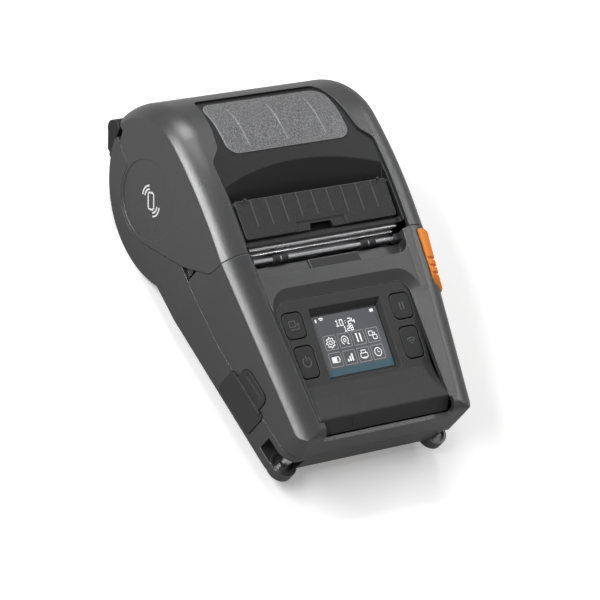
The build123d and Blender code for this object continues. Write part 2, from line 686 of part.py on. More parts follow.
def build_insert():
    half = WEB_OUT
    rear_y = INSERT_EDGE[-1][1]
    # The plate follows the roof line just below the rim, and a flange under it holds the cover
    plate = roof_band(half, INSERT_DEPTH, INSERT_DEPTH + INSERT_T, FLAP_Y[1] + 1.2, rear_y)
    plate = plate & plan_edge(INSERT_HALF_W, INSERT_EDGE, -FIT)
    flange = roof_band(half, WALL + 0.1, WALL + 1.3, INSERT_EDGE[0][1] - 2.0, rear_y + 1.5)
    plate = plate + flange - scoop_ball(0)
    under = roof_face(INSERT_DEPTH)
    zone = across(under, -half, half) & block(-half, half, FLAP_Y[1] + 0.8, 46, 44, 80)
    scoop = (scoop_ball(INSERT_T) - scoop_ball(0)) & zone
    # Side webs carry the platen and close the space beside the flap
    web_face = outline((2.8, 42.5), (18, 42.5), (40.8, 50.0), (40.8, 66.0), (2.8, 58.5))
    web = both(across(web_face, WEB_IN, half) & across(under, -SPAN, SPAN))
    beam = block(-half, half, 2.8, 5.4, 53.2, 56.4)
    tray = across(outline((FLAP_Y[1] - 1.0, 53.6), (FLAP_Y[1] + 3.5, 51.2), (FLAP_Y[1] + 4.5, 53.0),
                          (FLAP_Y[1] + 0.9, 56.0), (FLAP_Y[1] - 1.0, 56.0)), -half, half)
    seat = roof_band(half, -3, SEAT_DEPTH, WINDOW_Y[0] - 1, WINDOW_Y[1] + 1) & window_prism(FIT)
    body = plate + scoop + web + beam + tray - seat - window_prism(-1.2)
    for side in (-1, 1):
        body = body - rod(side * (half - 3), side * (half + 2), PLATEN_Y, PLATEN_Z, BEARING_R + RUN)
        body = body - rod(side * FLAP_HALF_W, side * (WEB_IN + 0.85), *FLAP_PIN, FLAP_PIN_R + RUN)
    return body


keep("cover_insert", build_insert())


def build_window():
    y0, y1 = WINDOW_Y
    pane = roof_band(WINDOW_HALF_W + 1, PANE_DEPTH, SEAT_DEPTH, y0 - 1, y1 + 1) & window_prism(0)
    # Fine ribs on the outside, and the stiffening ribs under the pane
    fine = [(x, 0.2, 0.1) for x in (-22.0, 0.0, 22.0)]
    stiff = [(x, -1.5, 2.4) for x in (-10.0, 10.0)]
    for x, top, low in fine + stiff:
        rib = roof_band(SPAN, PANE_DEPTH - top, PANE_DEPTH + low, y0 + 3, y1 - 5)
        pane = pane + (rib & block(x - 0.3, x + 0.3, 0, 90, 30, 90))
    return pane


keep("media_window", build_window())


# Peel flap
def build_flap():
    y0, y1 = FLAP_Y
    z0, z1 = FLAP_Z
    lean = atan2(z1 - z0, y1 - y0)
    face = outline(
        (y0, z0), (y1, z1), (y1 + 0.2, z1 - 3.2), (y1 - 1.8, z1 - 3.4), (y1 - 2.2, z1 - 2.5),
        (y0 + 1.8, z0 - FLAP_T + 0.4), (y0 + 1.6, z0 - 1.9), (y0, z0 - 1.9),
    )
    flap = across(face, -FLAP_HALF_W, FLAP_HALF_W)
    plane = Plane(origin=(0, y0, z0), x_dir=(1, 0, 0), z_dir=(0, -sin(lean), cos(lean)))
    length = (y1 - y0) / cos(lean)
    # Rounded front corners
    r = 2.5
    half = FLAP_HALF_W
    plan = outline((-half, -1), (half, -1), (half, length + 3), (-half, length + 3))
    plan = fillet(plan.vertices().sort_by(Axis.Y)[:2], r)
    flap = flap & extrude(plane.offset(-6) * plan, amount=12)
    pitch = 2 * FLAP_HALF_W / 10
    for i in range(9):
        start = 6.5 if abs(i - 4) < 2 else 5.0
        end = length - 0.4
        flap = flap + plane * Pos((i - 4) * pitch, (start + end) / 2, 0.02) * Box(0.45, end - start, 0.4)
    # Thumb recess with slanted ends, open in its middle
    recess = outline((-15.2, -1.5), (15.2, -1.5), (13.8, 4.2), (-13.8, 4.2))
    gap = outline((-7.4, -1.5), (7.4, -1.5), (6.0, 2.8), (-6.0, 2.8))
    flap = flap - extrude(plane.offset(-0.5) * recess, amount=2) - extrude(plane.offset(-5) * gap, amount=8)
    hooks = both(block(FLAP_HALF_W - 5.4, FLAP_HALF_W - 4.6, y1 - 0.9, y1 + 0.1, z1 - 1.5, z1 + 1.8))
    pins = both(rod(FLAP_HALF_W - 0.5, WEB_IN + 0.65, *FLAP_PIN, FLAP_PIN_R))
    return flap + hooks + pins


keep("peel_flap", build_flap())
keep("tear_bar", block(-TEAR_HALF_W, TEAR_HALF_W, 1.5, 2.8, 53.5, 55.2))

# Platen
keep("platen_roller", rod(-MEDIA_HALF_W, MEDIA_HALF_W, PLATEN_Y, PLATEN_Z, PLATEN_R) - rod(
    -SPAN, SPAN, PLATEN_Y, PLATEN_Z, PLATEN_SHAFT_R))
keep("platen_shaft", rod(-PLATEN_SHAFT_HALF, PLATEN_SHAFT_HALF, PLATEN_Y, PLATEN_Z, PLATEN_SHAFT_R))
keep("platen_gear", gear(PLATEN_TEETH, PLATEN_Y, PLATEN_Z, IDLER_DEG, PLATEN_SHAFT_R))
bearing = rod(WEB_IN - 0.45, EAR_OUT, PLATEN_Y, PLATEN_Z, BEARING_R) - rod(
    0, SPAN, PLATEN_Y, PLATEN_Z, PLATEN_SHAFT_R + RUN)
keep("platen_bearings", both(bearing))

# Gear train on the base
idler_phase = IDLER_DEG + 180 + 180 / IDLER_TEETH
keep("idler_gear", gear(IDLER_TEETH, IDLER_Y, IDLER_Z, idler_phase, IDLER_PIN_R + RUN))
# The pinion has a gap where the idler has a tooth, on the line between their centres
idler_step = 360 / IDLER_TEETH
off = ((MOTOR_DEG - idler_phase) / idler_step) % 1.0
pinion_phase = MOTOR_DEG + 180 + (0.5 + off) * 360 / MOTOR_TEETH
MOTOR_X0 = GEAR_X1 + 2.6
keep("motor_pinion", gear(MOTOR_TEETH, MOTOR_Y, MOTOR_Z, pinion_phase, MOTOR_SHAFT_R) + rod(
    GEAR_X0, MOTOR_X0 - GAP, MOTOR_Y, MOTOR_Z, MOTOR_SHAFT_R))
motor = rod(MOTOR_X0, MOTOR_X0 + 16, MOTOR_Y, MOTOR_Z, MOTOR_R) - rod(
    MOTOR_X0 - 1, MOTOR_X0 + 3, MOTOR_Y, MOTOR_Z, MOTOR_SHAFT_R + RUN)
keep("step_motor", motor)
keep("idler_pin", rod(GEAR_X0 - 0.4, GEAR_X1 + 2.3, IDLER_Y, IDLER_Z, IDLER_PIN_R))


# Head bracket: a steel U with ears for the platen bearings
def build_bracket():
    ear_in = EAR_OUT - EAR_T
    back = block(-EAR_OUT, EAR_OUT, -9.0, -7.8, 30.5, 47.2)
    ear_face = outline(
        (-9.0, 30.5), (3.0, 34.0), (14.4, 40.0), (14.4, 46.0), (3.5, 46.0), (-1.2, 47.6), (-9.0, 47.2),
    )
    room = Pos(PLATEN_Y, PLATEN_Z) * Circle(BEARING_R + GAP)
    ear = across(ear_face - room, ear_in, EAR_OUT)
    ear = ear - rod(ear_in - 1, EAR_OUT + 1, LATCH_Y, LATCH_Z, LATCH_R + 2)
    base_plate = block(-EAR_OUT, EAR_OUT, -9.0, -4.5, 29.3, 30.5)
    post = block(EAR_OUT - 5.7, EAR_OUT, -9.0, -6.5, BAY_TOP, 29.3)
    bracket = back + both(ear) + base_plate + post - rod(-SPAN, 0, IDLER_Y, IDLER_Z, IDLER_PIN_R)
    return bracket - rod(-SPAN, MOTOR_X0 + 17, MOTOR_Y, MOTOR_Z, MOTOR_R + 0.1)


keep("head_bracket", build_bracket())
SINK_HALF_W = MEDIA_HALF_W + 3.0
HEAD_HALF_W = MEDIA_HALF_W + 2.0
STRIP_HALF_W = MEDIA_HALF_W + 1.0
keep("head_heatsink", block(-SINK_HALF_W, SINK_HALF_W, -1.2, 1.6, 36.0, 48.6))
keep("print_head", block(-HEAD_HALF_W, HEAD_HALF_W, 1.7, 3.0, 38.0, 51.0))
pitch = 1.7
count = int(2 * STRIP_HALF_W / pitch)
strip_points = [(-STRIP_HALF_W, 52.3)]
for i in range(count):
    x = -STRIP_HALF_W + (2 * i + 1) * STRIP_HALF_W / count
    strip_points.append((x, 53.1))
    strip_points.append((x + STRIP_HALF_W / count, 52.3))
strip_points += [(STRIP_HALF_W, 48.6), (-STRIP_HALF_W, 48.6)]
saw = extrude(Plane.XZ.offset(-0.7) * outline(*strip_points), amount=0.5)
keep("serrated_strip", saw)


def coil_spring(radius, wire, length, turns):
    """Compression spring along +Y from the origin, as one unbroken tube."""
    path = Helix(pitch=length / turns, height=length, radius=radius)
    start = Plane(origin=path @ 0, z_dir=path % 0)
    return sweep(start * Circle(wire), path=path, is_frenet=True)


springs = None
for x in (-28.0, 0.0, 28.0):
    one = Pos(x, -7.5, 42.0) * Rot(-90, 0, 0) * coil_spring(2.0, 0.3, 5.9, 5)
    springs = one if springs is None else springs + one
keep("head_springs", springs)

# Rod with two rollers in front of the exit
ROD_HALF = RECESS_HALF_W - 0.6
ring_half = RING_W / 2
ring = rod(ROLLER_X - ring_half, ROLLER_X + ring_half, ROD_Y, ROD_Z, RING_R)
keep("peel_shaft", rod(-ROD_HALF, ROD_HALF, ROD_Y, ROD_Z, ROD_R) + both(ring))
collars = rod(ROLLER_X - ring_half - ROLLER_W, ROLLER_X + ring_half + ROLLER_W, ROD_Y, ROD_Z, ROLLER_R)
collars = collars - rod(ROLLER_X - ring_half, ROLLER_X + ring_half, ROD_Y, ROD_Z, ROLLER_R + 1)
keep("peel_rollers", both(collars - rod(0, SPAN, ROD_Y, ROD_Z, ROD_R)))
holder = block(ROD_HALF - 2.3, RECESS_HALF_W, ROD_Y - 1.9, SEAM_Y - 0.1, 48.7, 52.6) - rod(
    ROD_HALF - 3, ROD_HALF + RUN, ROD_Y, ROD_Z, ROD_R + RUN)
keep("peel_brackets", both(holder))
keep("name_plate", block(*PLATE_X, *PLATE_Y, RECESS_Z, RECESS_Z + PLATE_T))


# Bezel
def build_bezel():
    solid = across(bezel_profile(0), -BEZEL_HALF_REAR - 3, BEZEL_HALF_REAR + 3)
    low = block(-SPAN, SPAN, -95, -10, -20, BEZEL_FOOT[1] - 0.1)
    hollow = across(bezel_profile(BEZEL_T, 8), -SPAN, SPAN) + low
    flat = offset(bezel_face(BEZEL_REAR_Y, FRONT_Y - 6), amount=-FIT)
    prism = extrude(flat, amount=90)
    skirt = prism - extrude(offset(flat, amount=-1.6), amount=90)
    shell = (solid & prism) - hollow
    edge_y = BEZEL_EDGE[0]
    skirt_face = outline((BEZEL_REAR_Y, 44.5), (edge_y, 36.6), (edge_y, 60), (BEZEL_REAR_Y, 60))
    shell = shell + (skirt & across(bezel_profile(0.3) & skirt_face, -SPAN, SPAN))
    # Recessed display opening with sloping walls, and the wells of the four keys
    top = bezel_plane() * Rectangle(2 * LCD_RIM_HALF_W, 2 * LCD_RIM_HALF_L)
    low = bezel_plane(GLASS_DEPTH) * Pos(0, GLASS_SHIFT) * Rectangle(2 * GLASS_HALF_W, 2 * GLASS_HALF_L)
    funnel = loft([top, low], ruled=True)
    frame = bezel_plane(GLASS_DEPTH) * Pos(0, GLASS_SHIFT / 2, GLASS_DEPTH / 2) * Box(
        2 * LCD_RIM_HALF_W + 2.4, 2 * LCD_RIM_HALF_L + 2.4, GLASS_DEPTH)
    shell = shell + (frame & across(bezel_profile(0.2), -SPAN, SPAN)) - funnel
    shell = shell - bezel_plane(0) * Box(2 * GLASS_HALF_W - 1, 2 * GLASS_HALF_L - 1, 12)
    for x, y, w, h in KEYS.values():
        hole = bezel_plane(4) * Pos(x, y) * RectangleRounded(w + 2 * KEY_GAP, h + 2 * KEY_GAP, 3.0)
        shell = shell - extrude(hole, amount=8)
    return shell


keep("display_bezel", build_bezel())
module_plane = bezel_plane(GLASS_DEPTH)
glass = Box(2 * GLASS_HALF_W + 2.4, 2 * GLASS_HALF_L + 2.4, 0.8)
module = Box(2 * GLASS_HALF_W + 4, 2 * GLASS_HALF_L + 4, 3.4)
keep("lcd_glass", module_plane * Pos(0, GLASS_SHIFT, -0.45) * glass)
keep("lcd_module", module_plane * Pos(0, GLASS_SHIFT, -2.6) * module)
board_depth = GLASS_DEPTH + 4.5
display_board = bezel_plane(board_depth) * Pos(0, -1.6, -0.6) * Box(72.0, 34.0, 1.2)
keep("display_board", display_board)

switches = None
for key_name, (x, y, w, h) in KEYS.items():
    cap_depth = board_depth - 1.4 - KEY_TRAVEL
    cap = extrude(bezel_plane(cap_depth) * Pos(x, y) * RectangleRounded(w, h, 2.6), amount=cap_depth + 0.1)
    cap = fillet(cap.faces().sort_by(Axis.Z)[-1].edges(), 0.45)
    flange = bezel_plane(cap_depth) * Pos(x, y) * RectangleRounded(w + 1.8, h + 1.8, 3.0)
    keep(key_name, cap + extrude(flange, amount=1.0))
    switch = bezel_plane(board_depth) * Pos(x, y, 0.6) * Box(4.0, 4.0, 1.2)
    switches = switch if switches is None else switches + switch
keep("key_switches", switches)


# Opening lever, latch shaft and hooks
def build_lever():
    grip = across(lever_face, LEVER_GRIP_X, SPAN) & block(0, SPAN, -SPAN, SPAN, LEVER_GRIP_Z, SPAN)
    lever = (across(lever_face, HOOK_OUT + 0.3, SPAN) + grip) & casing_solid(-LEVER_PROUD)
    groove_floor = casing_solid(GROOVE_DEPTH - LEVER_PROUD)
    for i in range(GROOVE_COUNT):
        slab = Box(24, GROOVE_W, 40)
        groove = Pos(HALF_W, GROOVE_Y - i * GROOVE_PITCH, LEVER_GRIP_Z) * Rot(GROOVE_TILT_DEG, 0, 0) * slab
        lever = lever - (groove - groove_floor)
    return lever


keep("open_lever", build_lever())
keep("latch_shaft", rod(-HOOK_OUT, HOOK_OUT, LATCH_Y, LATCH_Z, LATCH_R))


def build_hook(with_arm):
    face = outline(
        (LATCH_Y - 3.5, LATCH_Z - 2), (LATCH_Y + 3.5, LATCH_Z - 2), (LATCH_Y + 4.0, 37.0),
        (PLATEN_Y - 4.6, PLATEN_Z - 2.0), (PLATEN_Y - 4.2, PLATEN_Z + 1), (PLATEN_Y - 3.0, PLATEN_Z + 3.4),
        (PLATEN_Y - 5.0, PLATEN_Z + 4.6), (PLATEN_Y - 8.5, PLATEN_Z + 1.0), (LATCH_Y - 2.0, 38.0),
    )
    face = face + Pos(LATCH_Y, LATCH_Z) * Circle(4.0)
    if with_arm:
        face = face + outline(
            (LATCH_Y - 1, LATCH_Z), (LATCH_Y + 2.5, 34.0), (-8.0, 44.0), (-19.0, 41.5), (-16.5, 36.5),
        )
    face = face - Pos(LATCH_Y, LATCH_Z) * Circle(LATCH_R)
    return across(face, HOOK_IN, HOOK_OUT)


keep("latch_hook_left", flip(build_hook(False)))
stem = across(outline((-9, 38.9), (-9, 43.4), (-17, 41.2), (-16, 37.6)), HOOK_OUT - 0.01, HOOK_OUT + 1.0)
keep("latch_hook_right", build_hook(True) + (stem - NODES["open_lever"]))
post_x = (EAR_OUT + 1.0, HOOK_IN - 0.6)
latch_post = block(*post_x, LATCH_Y - 3.2, LATCH_Y + 3.2, SIDE_BOTTOM_Z + 1.5, LATCH_Z + 2.2)
latch_post = both(latch_post - rod(0, SPAN, LATCH_Y, LATCH_Z, LATCH_R + RUN))
latch_foot = block(BATTERY_HALF_W + 1, post_x[1], LATCH_Y - 3.2, LATCH_Y + 3.2, SIDE_BOTTOM_Z + 1.5, 12.0)
NODES["base_shell"] = BASE + latch_post + both(latch_foot)


# Port door and what is behind it
def build_door():
    door = extrude(DOOR_PLANE.offset(-DOOR_T) * door_face(), amount=DOOR_T + 0.5)
    ridge = DOOR_PLANE * Pos(0, DOOR_Z[1] - 0.6, 0.5) * Box(21, 1.4, 1.2)
    groove = DOOR_PLANE * Pos(0, DOOR_TOP_Z - 2.4, 0.6) * Box(13, 1.3, 1.4)
    return door + ridge - groove


keep("port_door", build_door())


def build_port_frame():
    depth = DOOR_T + 0.4
    frame = extrude(DOOR_PLANE.offset(-depth - 1.6) * door_face(-0.3), amount=1.6)
    usb = DOOR_PLANE * Pos(USB_X, PORT_Z, -depth) * Box(9.6, 3.9, 8)
    jack = DOOR_PLANE * Pos(JACK_X, PORT_Z, -depth) * Box(9.3, 9.3, 8)
    return frame - usb - jack


keep("port_frame", build_port_frame())
usb_shell = DOOR_PLANE * Pos(USB_X, PORT_Z, -7.0) * Box(9.0, 3.3, 8.6)
usb_room = DOOR_PLANE * Pos(USB_X, PORT_Z, -5.6) * Box(8.4, 2.7, 6.6)
usb_tongue = DOOR_PLANE * Pos(USB_X, PORT_Z, -6.8) * Box(6.6, 0.7, 5.2)
keep("usb_port", usb_shell - usb_room + usb_tongue)
jack = DOOR_PLANE * Pos(JACK_X, PORT_Z, -(PORT_TOP + PORT_DEPTH) / 2) * Box(9.0, 9.0, PORT_DEPTH - PORT_TOP)
jack_bore = DOOR_PLANE * Pos(JACK_X, PORT_Z, -PORT_DEPTH / 2) * Cylinder(2.9, PORT_DEPTH - 4.0)
jack_pin = DOOR_PLANE * Pos(JACK_X, PORT_Z, 4.8 - PORT_DEPTH) * Cylinder(0.9, 7.0)
keep("power_jack", jack - jack_bore + jack_pin)

# Strap pins
pin_z = (STRAP_Z[0] - 1.8, STRAP_Z[1] + 0.8)
strap_pin = Cylinder(STRAP_PIN_R, pin_z[1] - pin_z[0])
strap_pin = Pos(STRAP_PIN_X, STRAP_PIN_Y, (pin_z[0] + pin_z[1]) / 2) * strap_pin
keep("strap_pins", both(strap_pin))
NODES["base_shell"] = NODES["base_shell"] - both(strap_pin)

# Battery, its latch and contacts
battery = block(-BATTERY_HALF_W, BATTERY_HALF_W, BATTERY_Y[0], BATTERY_Y[1], 0, BATTERY_TOP)
battery = fillet(battery.edges().filter_by(Axis.Z), 2.5)
battery = battery - block(-9, 9, BATTERY_Y[0] - 1, BATTERY_Y[0] + 3.2, -1, 3.2)
keep("battery_pack", battery)
latch_y = BATTERY_Y[0] - GAP - 1.8
keep("battery_latch", block(-8.0, 8.0, latch_y - 2.2, latch_y - 0.3, 1.0, 5.2) + block(
    -3, 3, latch_y - 0.4, BATTERY_Y[0] - GAP, 1.2, 2.6))
base = NODES["base_shell"]
latch_bridge = block(-11, 11, latch_y - 3.9, latch_y, 0.6, SIDE_BOTTOM_Z + 1.0) - block(
    -8.3, 8.3, latch_y - 5, latch_y - 0.02, 0.0, 5.5)
base = base + latch_bridge - block(-3.3, 3.3, latch_y - 2, latch_y + 3, 0.9, 2.9)
NODES["base_shell"] = base
contacts = None
for i in range(4):
    x = 4 * i - 6
    pin = block(x - 0.8, x + 0.8, BATTERY_Y[1] - 14, BATTERY_Y[1] - 10, BATTERY_TOP + 0.05, BAY_TOP + 0.8)
    contacts = pin if contacts is None else contacts + pin
keep("battery_contacts", contacts)
NODES["base_shell"] = NODES["base_shell"] - contacts

# Electronics
board_z = BAY_TOP + 1.0
BOARD_HALF_W = BATTERY_HALF_W + 2.9
keep("main_board", block(-BOARD_HALF_W, BOARD_HALF_W, -66.0, -27.0, board_z, board_z + 1.6))
keep("radio_module", block(14, 32, -62, -48, board_z + 1.6, board_z + 4.4))
keep("buzzer", Pos(-28, -58, board_z + 3.4) * Cylinder(5.0, 3.6))
STUD_X = (BOARD_HALF_W - 7.5, BOARD_HALF_W - 4.5)
for y0, y1 in ((-64, -61), (-32, -29)):
    NODES["base_shell"] = NODES["base_shell"] + both(block(*STUD_X, y0, y1, BAY_TOP - 0.1, board_z))


# Roll tub, roll guides and their pinion
def tub_face(r):
    ring = Pos(BULGE_Y, ROLL_Z) * Circle(r)
    return ring & outline((0, -5), (90, -5), (90, 48), (66, 48), (40, 38), (0, 38))


GUIDE_TRAVEL = 27.0
RACK_Y0, RACK_Y1 = 4.4, 8.4
PINION_Z = 29.6
PINION_R = 4.0


def build_tub():
    out, inn = TUB_R + TUB_WALL, TUB_R
    side = tub_face(out)
    outer = TUB_HALF_W + TUB_WALL
    trough = across(side - Pos(BULGE_Y, ROLL_Z) * Circle(inn), -outer, outer)
    walls = both(across(side, TUB_HALF_W, outer))
    slot = both(block(10.5, TUB_HALF_W - 0.2, 5, 16, 27.2, 32.2))
    # Feet down to the floor of the shell
    under = across(Pos(BULGE_Y, ROLL_Z) * Circle(inn + 0.8), -SPAN, SPAN)
    feet = both(block(30, 34, 12, 24, 8.6, 24)) - under
    return trough + walls - slot + (feet & across(base_face(WALL), -SPAN, SPAN))


keep("roll_tub", build_tub())


def build_guide(side):
    """Guide plate on the given side, with its arm and its rack."""
    x_in = MEDIA_HALF_W + 0.2
    plate_face = Pos(BULGE_Y, ROLL_Z) * Circle(19.0) + outline(
        (BULGE_Y - 12, 27.5), (BULGE_Y - 12, 31.9), (RACK_Y0, 31.9), (RACK_Y0, 27.5))
    plate = across(plate_face, x_in, x_in + 2.0)
    hub = rod(x_in - 3.0, x_in + 0.1, BULGE_Y, ROLL_Z, 6.0)
    up = side < 0
    pitch_z = PINION_Z + PINION_R if up else PINION_Z - PINION_R
    web_z = (27.5, pitch_z + 2.2) if up else (pitch_z - 2.2, 31.9)
    web = block(x_in, x_in + 2.0, RACK_Y0, RACK_Y1, web_z[0], web_z[1])
    plate = plate + hub + web
    plate = plate if side > 0 else flip(plate)
    span = (x_in + 1.9) if side > 0 else -(x_in + 1.9)
    end = -15.5 if side > 0 else 15.5
    grow = 1 if up else -1
    bar = block(span, end, RACK_Y0, RACK_Y1, pitch_z + grow * 1.0, pitch_z + grow * 2.2)
    tooth_pitch = pi
    for i in range(-15, 16):
        x = (i + 0.5) * tooth_pitch
        low, high = sorted((span, end))
        if not low + 1.2 < x < high - 1.2:
            continue
        root, tip = pitch_z + grow * 1.05, pitch_z - grow * 0.75
        tooth = outline((x - 1.05, root), (x - 0.4, tip), (x + 0.4, tip), (x + 1.05, root))
        bar = bar + extrude(Plane.XZ.offset(-RACK_Y1) * tooth, amount=RACK_Y1 - RACK_Y0)
    return plate + bar


keep("roll_guide_left", build_guide(-1))
keep("roll_guide_right", build_guide(1))


def build_guide_pinion():
    teeth_count = 8
    root, tip = PINION_R - 1.2, PINION_R + 0.75
    points = []
    for i in range(teeth_count):
        mid = 90 + i * 360 / teeth_count
        for r, half in ((root, 16.0), (tip, 5.5)):
            points.append((r, mid - half))
        points.append((tip, mid + 5.5))
        points.append((root, mid + 16.0))
    face = outline(*[on_arc((0, 0), r, a) for r, a in points]) - Circle(1.0 + RUN)
    wheel = extrude(Plane.XZ.offset(-RACK_Y1) * Pos(0, PINION_Z) * face, amount=RACK_Y1 - RACK_Y0)
    return wheel


keep("guide_pinion", build_guide_pinion())
pin = Pos(0, 5.4, PINION_Z) * Rot(90, 0, 0) * Cylinder(1.0, 8.0)
keep("pinion_pin", pin)
pin_post = block(-3, 3, 1.0, 3.9, BAY_TOP - 0.1, PINION_Z + 3) - Pos(0, 5.4, PINION_Z) * Rot(
    90, 0, 0) * Cylinder(1.0, 8.0)
NODES["base_shell"] = NODES["base_shell"] + pin_post
keep("media_sensor", block(-6, 6, 12.2, 15.0, 36.5, 37.7))

# Hinge bracket, pin and spring
KNUCKLE_WEB = outline(
    (HINGE_Y - 3.9, HINGE_Z - 1.0), (HINGE_Y + 3.0, HINGE_Z - 2.5), (HINGE_Y - 4.0, HINGE_Z - 9.5),
    (HINGE_Y - 8.2, HINGE_Z - 9.5), (HINGE_Y - 7.2, HINGE_Z - 1.0))
barrel = Pos(HINGE_Y, HINGE_Z) * Circle(HINGE_R)
hinge_outer = across(KNUCKLE_WEB + barrel, BARREL_IN, BARREL_END)
groove_x = BARREL_END - 1.8
groove = barrel - Pos(HINGE_Y, HINGE_Z) * Circle(HINGE_R - 0.3)
hinge_outer = hinge_outer - across(groove, groove_x, groove_x + 0.5)
strap_z = (HINGE_Z - 10.6, HINGE_Z - 5.1)
strap = Pos(BULGE_Y, BULGE_R) * Circle(BULGE_R + 1.6) & outline(
    (BULGE_Y, strap_z[0]), (HINGE_Y + 5, strap_z[0]), (HINGE_Y + 5, strap_z[1]), (BULGE_Y, strap_z[1]),
)
hinge = both(hinge_outer) + across(KNUCKLE_WEB + barrel, GAP - KNUCKLE_IN, BARREL_MID) + across(
    strap, -BARREL_END, BARREL_END)
hinge = hinge - across(Pos(BULGE_Y, BULGE_R) * Circle(BULGE_R), -SPAN, SPAN)
PIN_HALF = BARREL_END - 2.5
hinge = hinge - rod(-PIN_HALF, PIN_HALF, HINGE_Y, HINGE_Z, HINGE_PIN_R)
keep("hinge_bracket", hinge)
keep("hinge_pin", rod(-PIN_HALF, PIN_HALF, HINGE_Y, HINGE_Z, HINGE_PIN_R))
coil = Pos(BARREL_MID + 1.5, HINGE_Y, HINGE_Z) * Rot(0, 90, 0) * coil_spring(2.2, 0.35, 6.5, 7)
keep("hinge_spring", coil)

# Tag antenna inside the round cheek
antenna = rod(-HALF_W + WALL + 0.02, -HALF_W + WALL + 0.4, LOBE_Y + 0.9, LOBE_Z - 0.6, 15.0) - rod(
    -HALF_W, -HALF_W + 6, LOBE_Y + 0.9, LOBE_Z - 0.6, 11.0)
keep("tag_antenna", antenna)

# Case screws
screws = None
base = NODES["base_shell"]
for x, y in SCREWS:
    shank = Pos(x, y, 18.6) * Cylinder(SCREW_R, 17.6)
    head = Pos(x, y, 9.3) * Cylinder(SCREW_HEAD_R, 1.4)
    screw = shank + head
    screws = screw if screws is None else screws + screw
    pillar = Pos(x, y, 15.5) * Cylinder(3.6, 14.0)
    bore = Pos(x, y, 17.6) * Cylinder(SCREW_R + 0.15, 30)
    base = base + pillar - bore - Pos(x, y, 8.6) * Cylinder(SCREW_HEAD_R + 0.2, 2.9)
keep("case_screws", screws)
NODES["base_shell"] = base

for name, shape in NODES.items():
    export_step(shape, f"parts/{name}.step")
print(len(NODES), "nodes written")
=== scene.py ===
# %% [markdown]
# A label printer that lies on its battery side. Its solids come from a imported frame, so this
# lesson only dresses them: it gives every plastic, rubber and metal its own finish, and adds
# the small pieces that a solid modeller leaves out, such as the picture on the display.

import bmesh
import bpy
from math import cos, radians, sin
from mathutils import Matrix, Quaternion, Vector


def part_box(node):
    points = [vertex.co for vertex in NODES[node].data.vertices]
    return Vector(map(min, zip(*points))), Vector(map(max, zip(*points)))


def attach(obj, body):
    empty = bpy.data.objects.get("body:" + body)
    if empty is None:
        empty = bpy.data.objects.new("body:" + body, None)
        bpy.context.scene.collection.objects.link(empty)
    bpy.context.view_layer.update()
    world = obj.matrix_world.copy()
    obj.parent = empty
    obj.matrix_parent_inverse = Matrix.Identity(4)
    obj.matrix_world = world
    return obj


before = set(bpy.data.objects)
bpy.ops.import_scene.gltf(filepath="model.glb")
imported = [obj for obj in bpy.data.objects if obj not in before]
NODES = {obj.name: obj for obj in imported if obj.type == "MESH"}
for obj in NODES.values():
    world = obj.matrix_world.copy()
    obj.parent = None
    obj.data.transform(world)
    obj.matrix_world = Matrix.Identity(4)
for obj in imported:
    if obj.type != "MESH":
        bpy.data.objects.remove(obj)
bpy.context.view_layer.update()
MM = 0.001

# %% [markdown]
# The camera stands where the photographer stood: above the left front corner, far away, with a
# long lens and a little roll. Its three axes were fitted to mirrored features of the printer.
# A camera looks along its own -Z, so the third column is the direction back from the object.

# %% Camera
CAMERA_RIGHT = (0.76764181, -0.43354618, 0.47197855)
CAMERA_UP = (0.14138575, 0.8328736, 0.53509966)
CAMERA_BACK = (-0.62508889, -0.34403383, 0.70064585)
CAMERA_AT = (-1.16972, -0.65361, 1.33327)
SENSOR_MM = 36.0
LENS_MM = 252.4256
camera_data = bpy.data.cameras.new("camera")
camera_data.sensor_width = SENSOR_MM
camera_data.lens = LENS_MM
camera_data.clip_start = 0.1
camera_data.clip_end = 20.0
camera = bpy.data.objects.new("camera", camera_data)
bpy.context.scene.collection.objects.link(camera)
turned = Matrix((CAMERA_RIGHT, CAMERA_UP, CAMERA_BACK)).transposed().to_4x4()
camera.matrix_world = Matrix.Translation(CAMERA_AT) @ turned
bpy.context.scene.camera = camera
print("camera", [round(v, 3) for v in camera.location])

# %% [markdown]
# Materials, the world and the floor are all node trees. Three helpers keep the later cells short:
# one starts a node group, one adds a node with its values, and one adds a maths node.

# %% Helpers for node trees
def new_group(name, inputs, outputs):
    group = bpy.data.node_groups.new(name, "ShaderNodeTree")
    for label, value in inputs:
        made = group.interface.new_socket(label, in_out="INPUT", socket_type="NodeSocketFloat")
        made.default_value = value
    for label, kind in outputs:
        group.interface.new_socket(label, in_out="OUTPUT", socket_type=kind)
    return group, group.nodes.new("NodeGroupInput"), group.nodes.new("NodeGroupOutput")


def add_node(tree, kind, values=(), **settings):
    node = tree.nodes.new(kind)
    for key, value in settings.items():
        setattr(node, key, value)
    for key, value in dict(values).items():
        node.inputs[key].default_value = value
    return node


def math_node(tree, operation, a, b=None, clamp=False):
    node = tree.nodes.new("ShaderNodeMath")
    node.operation = operation
    node.use_clamp = clamp
    for index, value in enumerate((a, b)):
        if value is None:
            continue
        if isinstance(value, (int, float)):
            node.inputs[index].default_value = value
        else:
            tree.links.new(value, node.inputs[index])
    return node.outputs[0]


print("node helpers ready")

# %% [markdown]
# Three soft lamps light the printer, as in a small product studio. The long one at the left draws
# the bright line on the shoulder, the one above lights the top, and the last opens the right side.

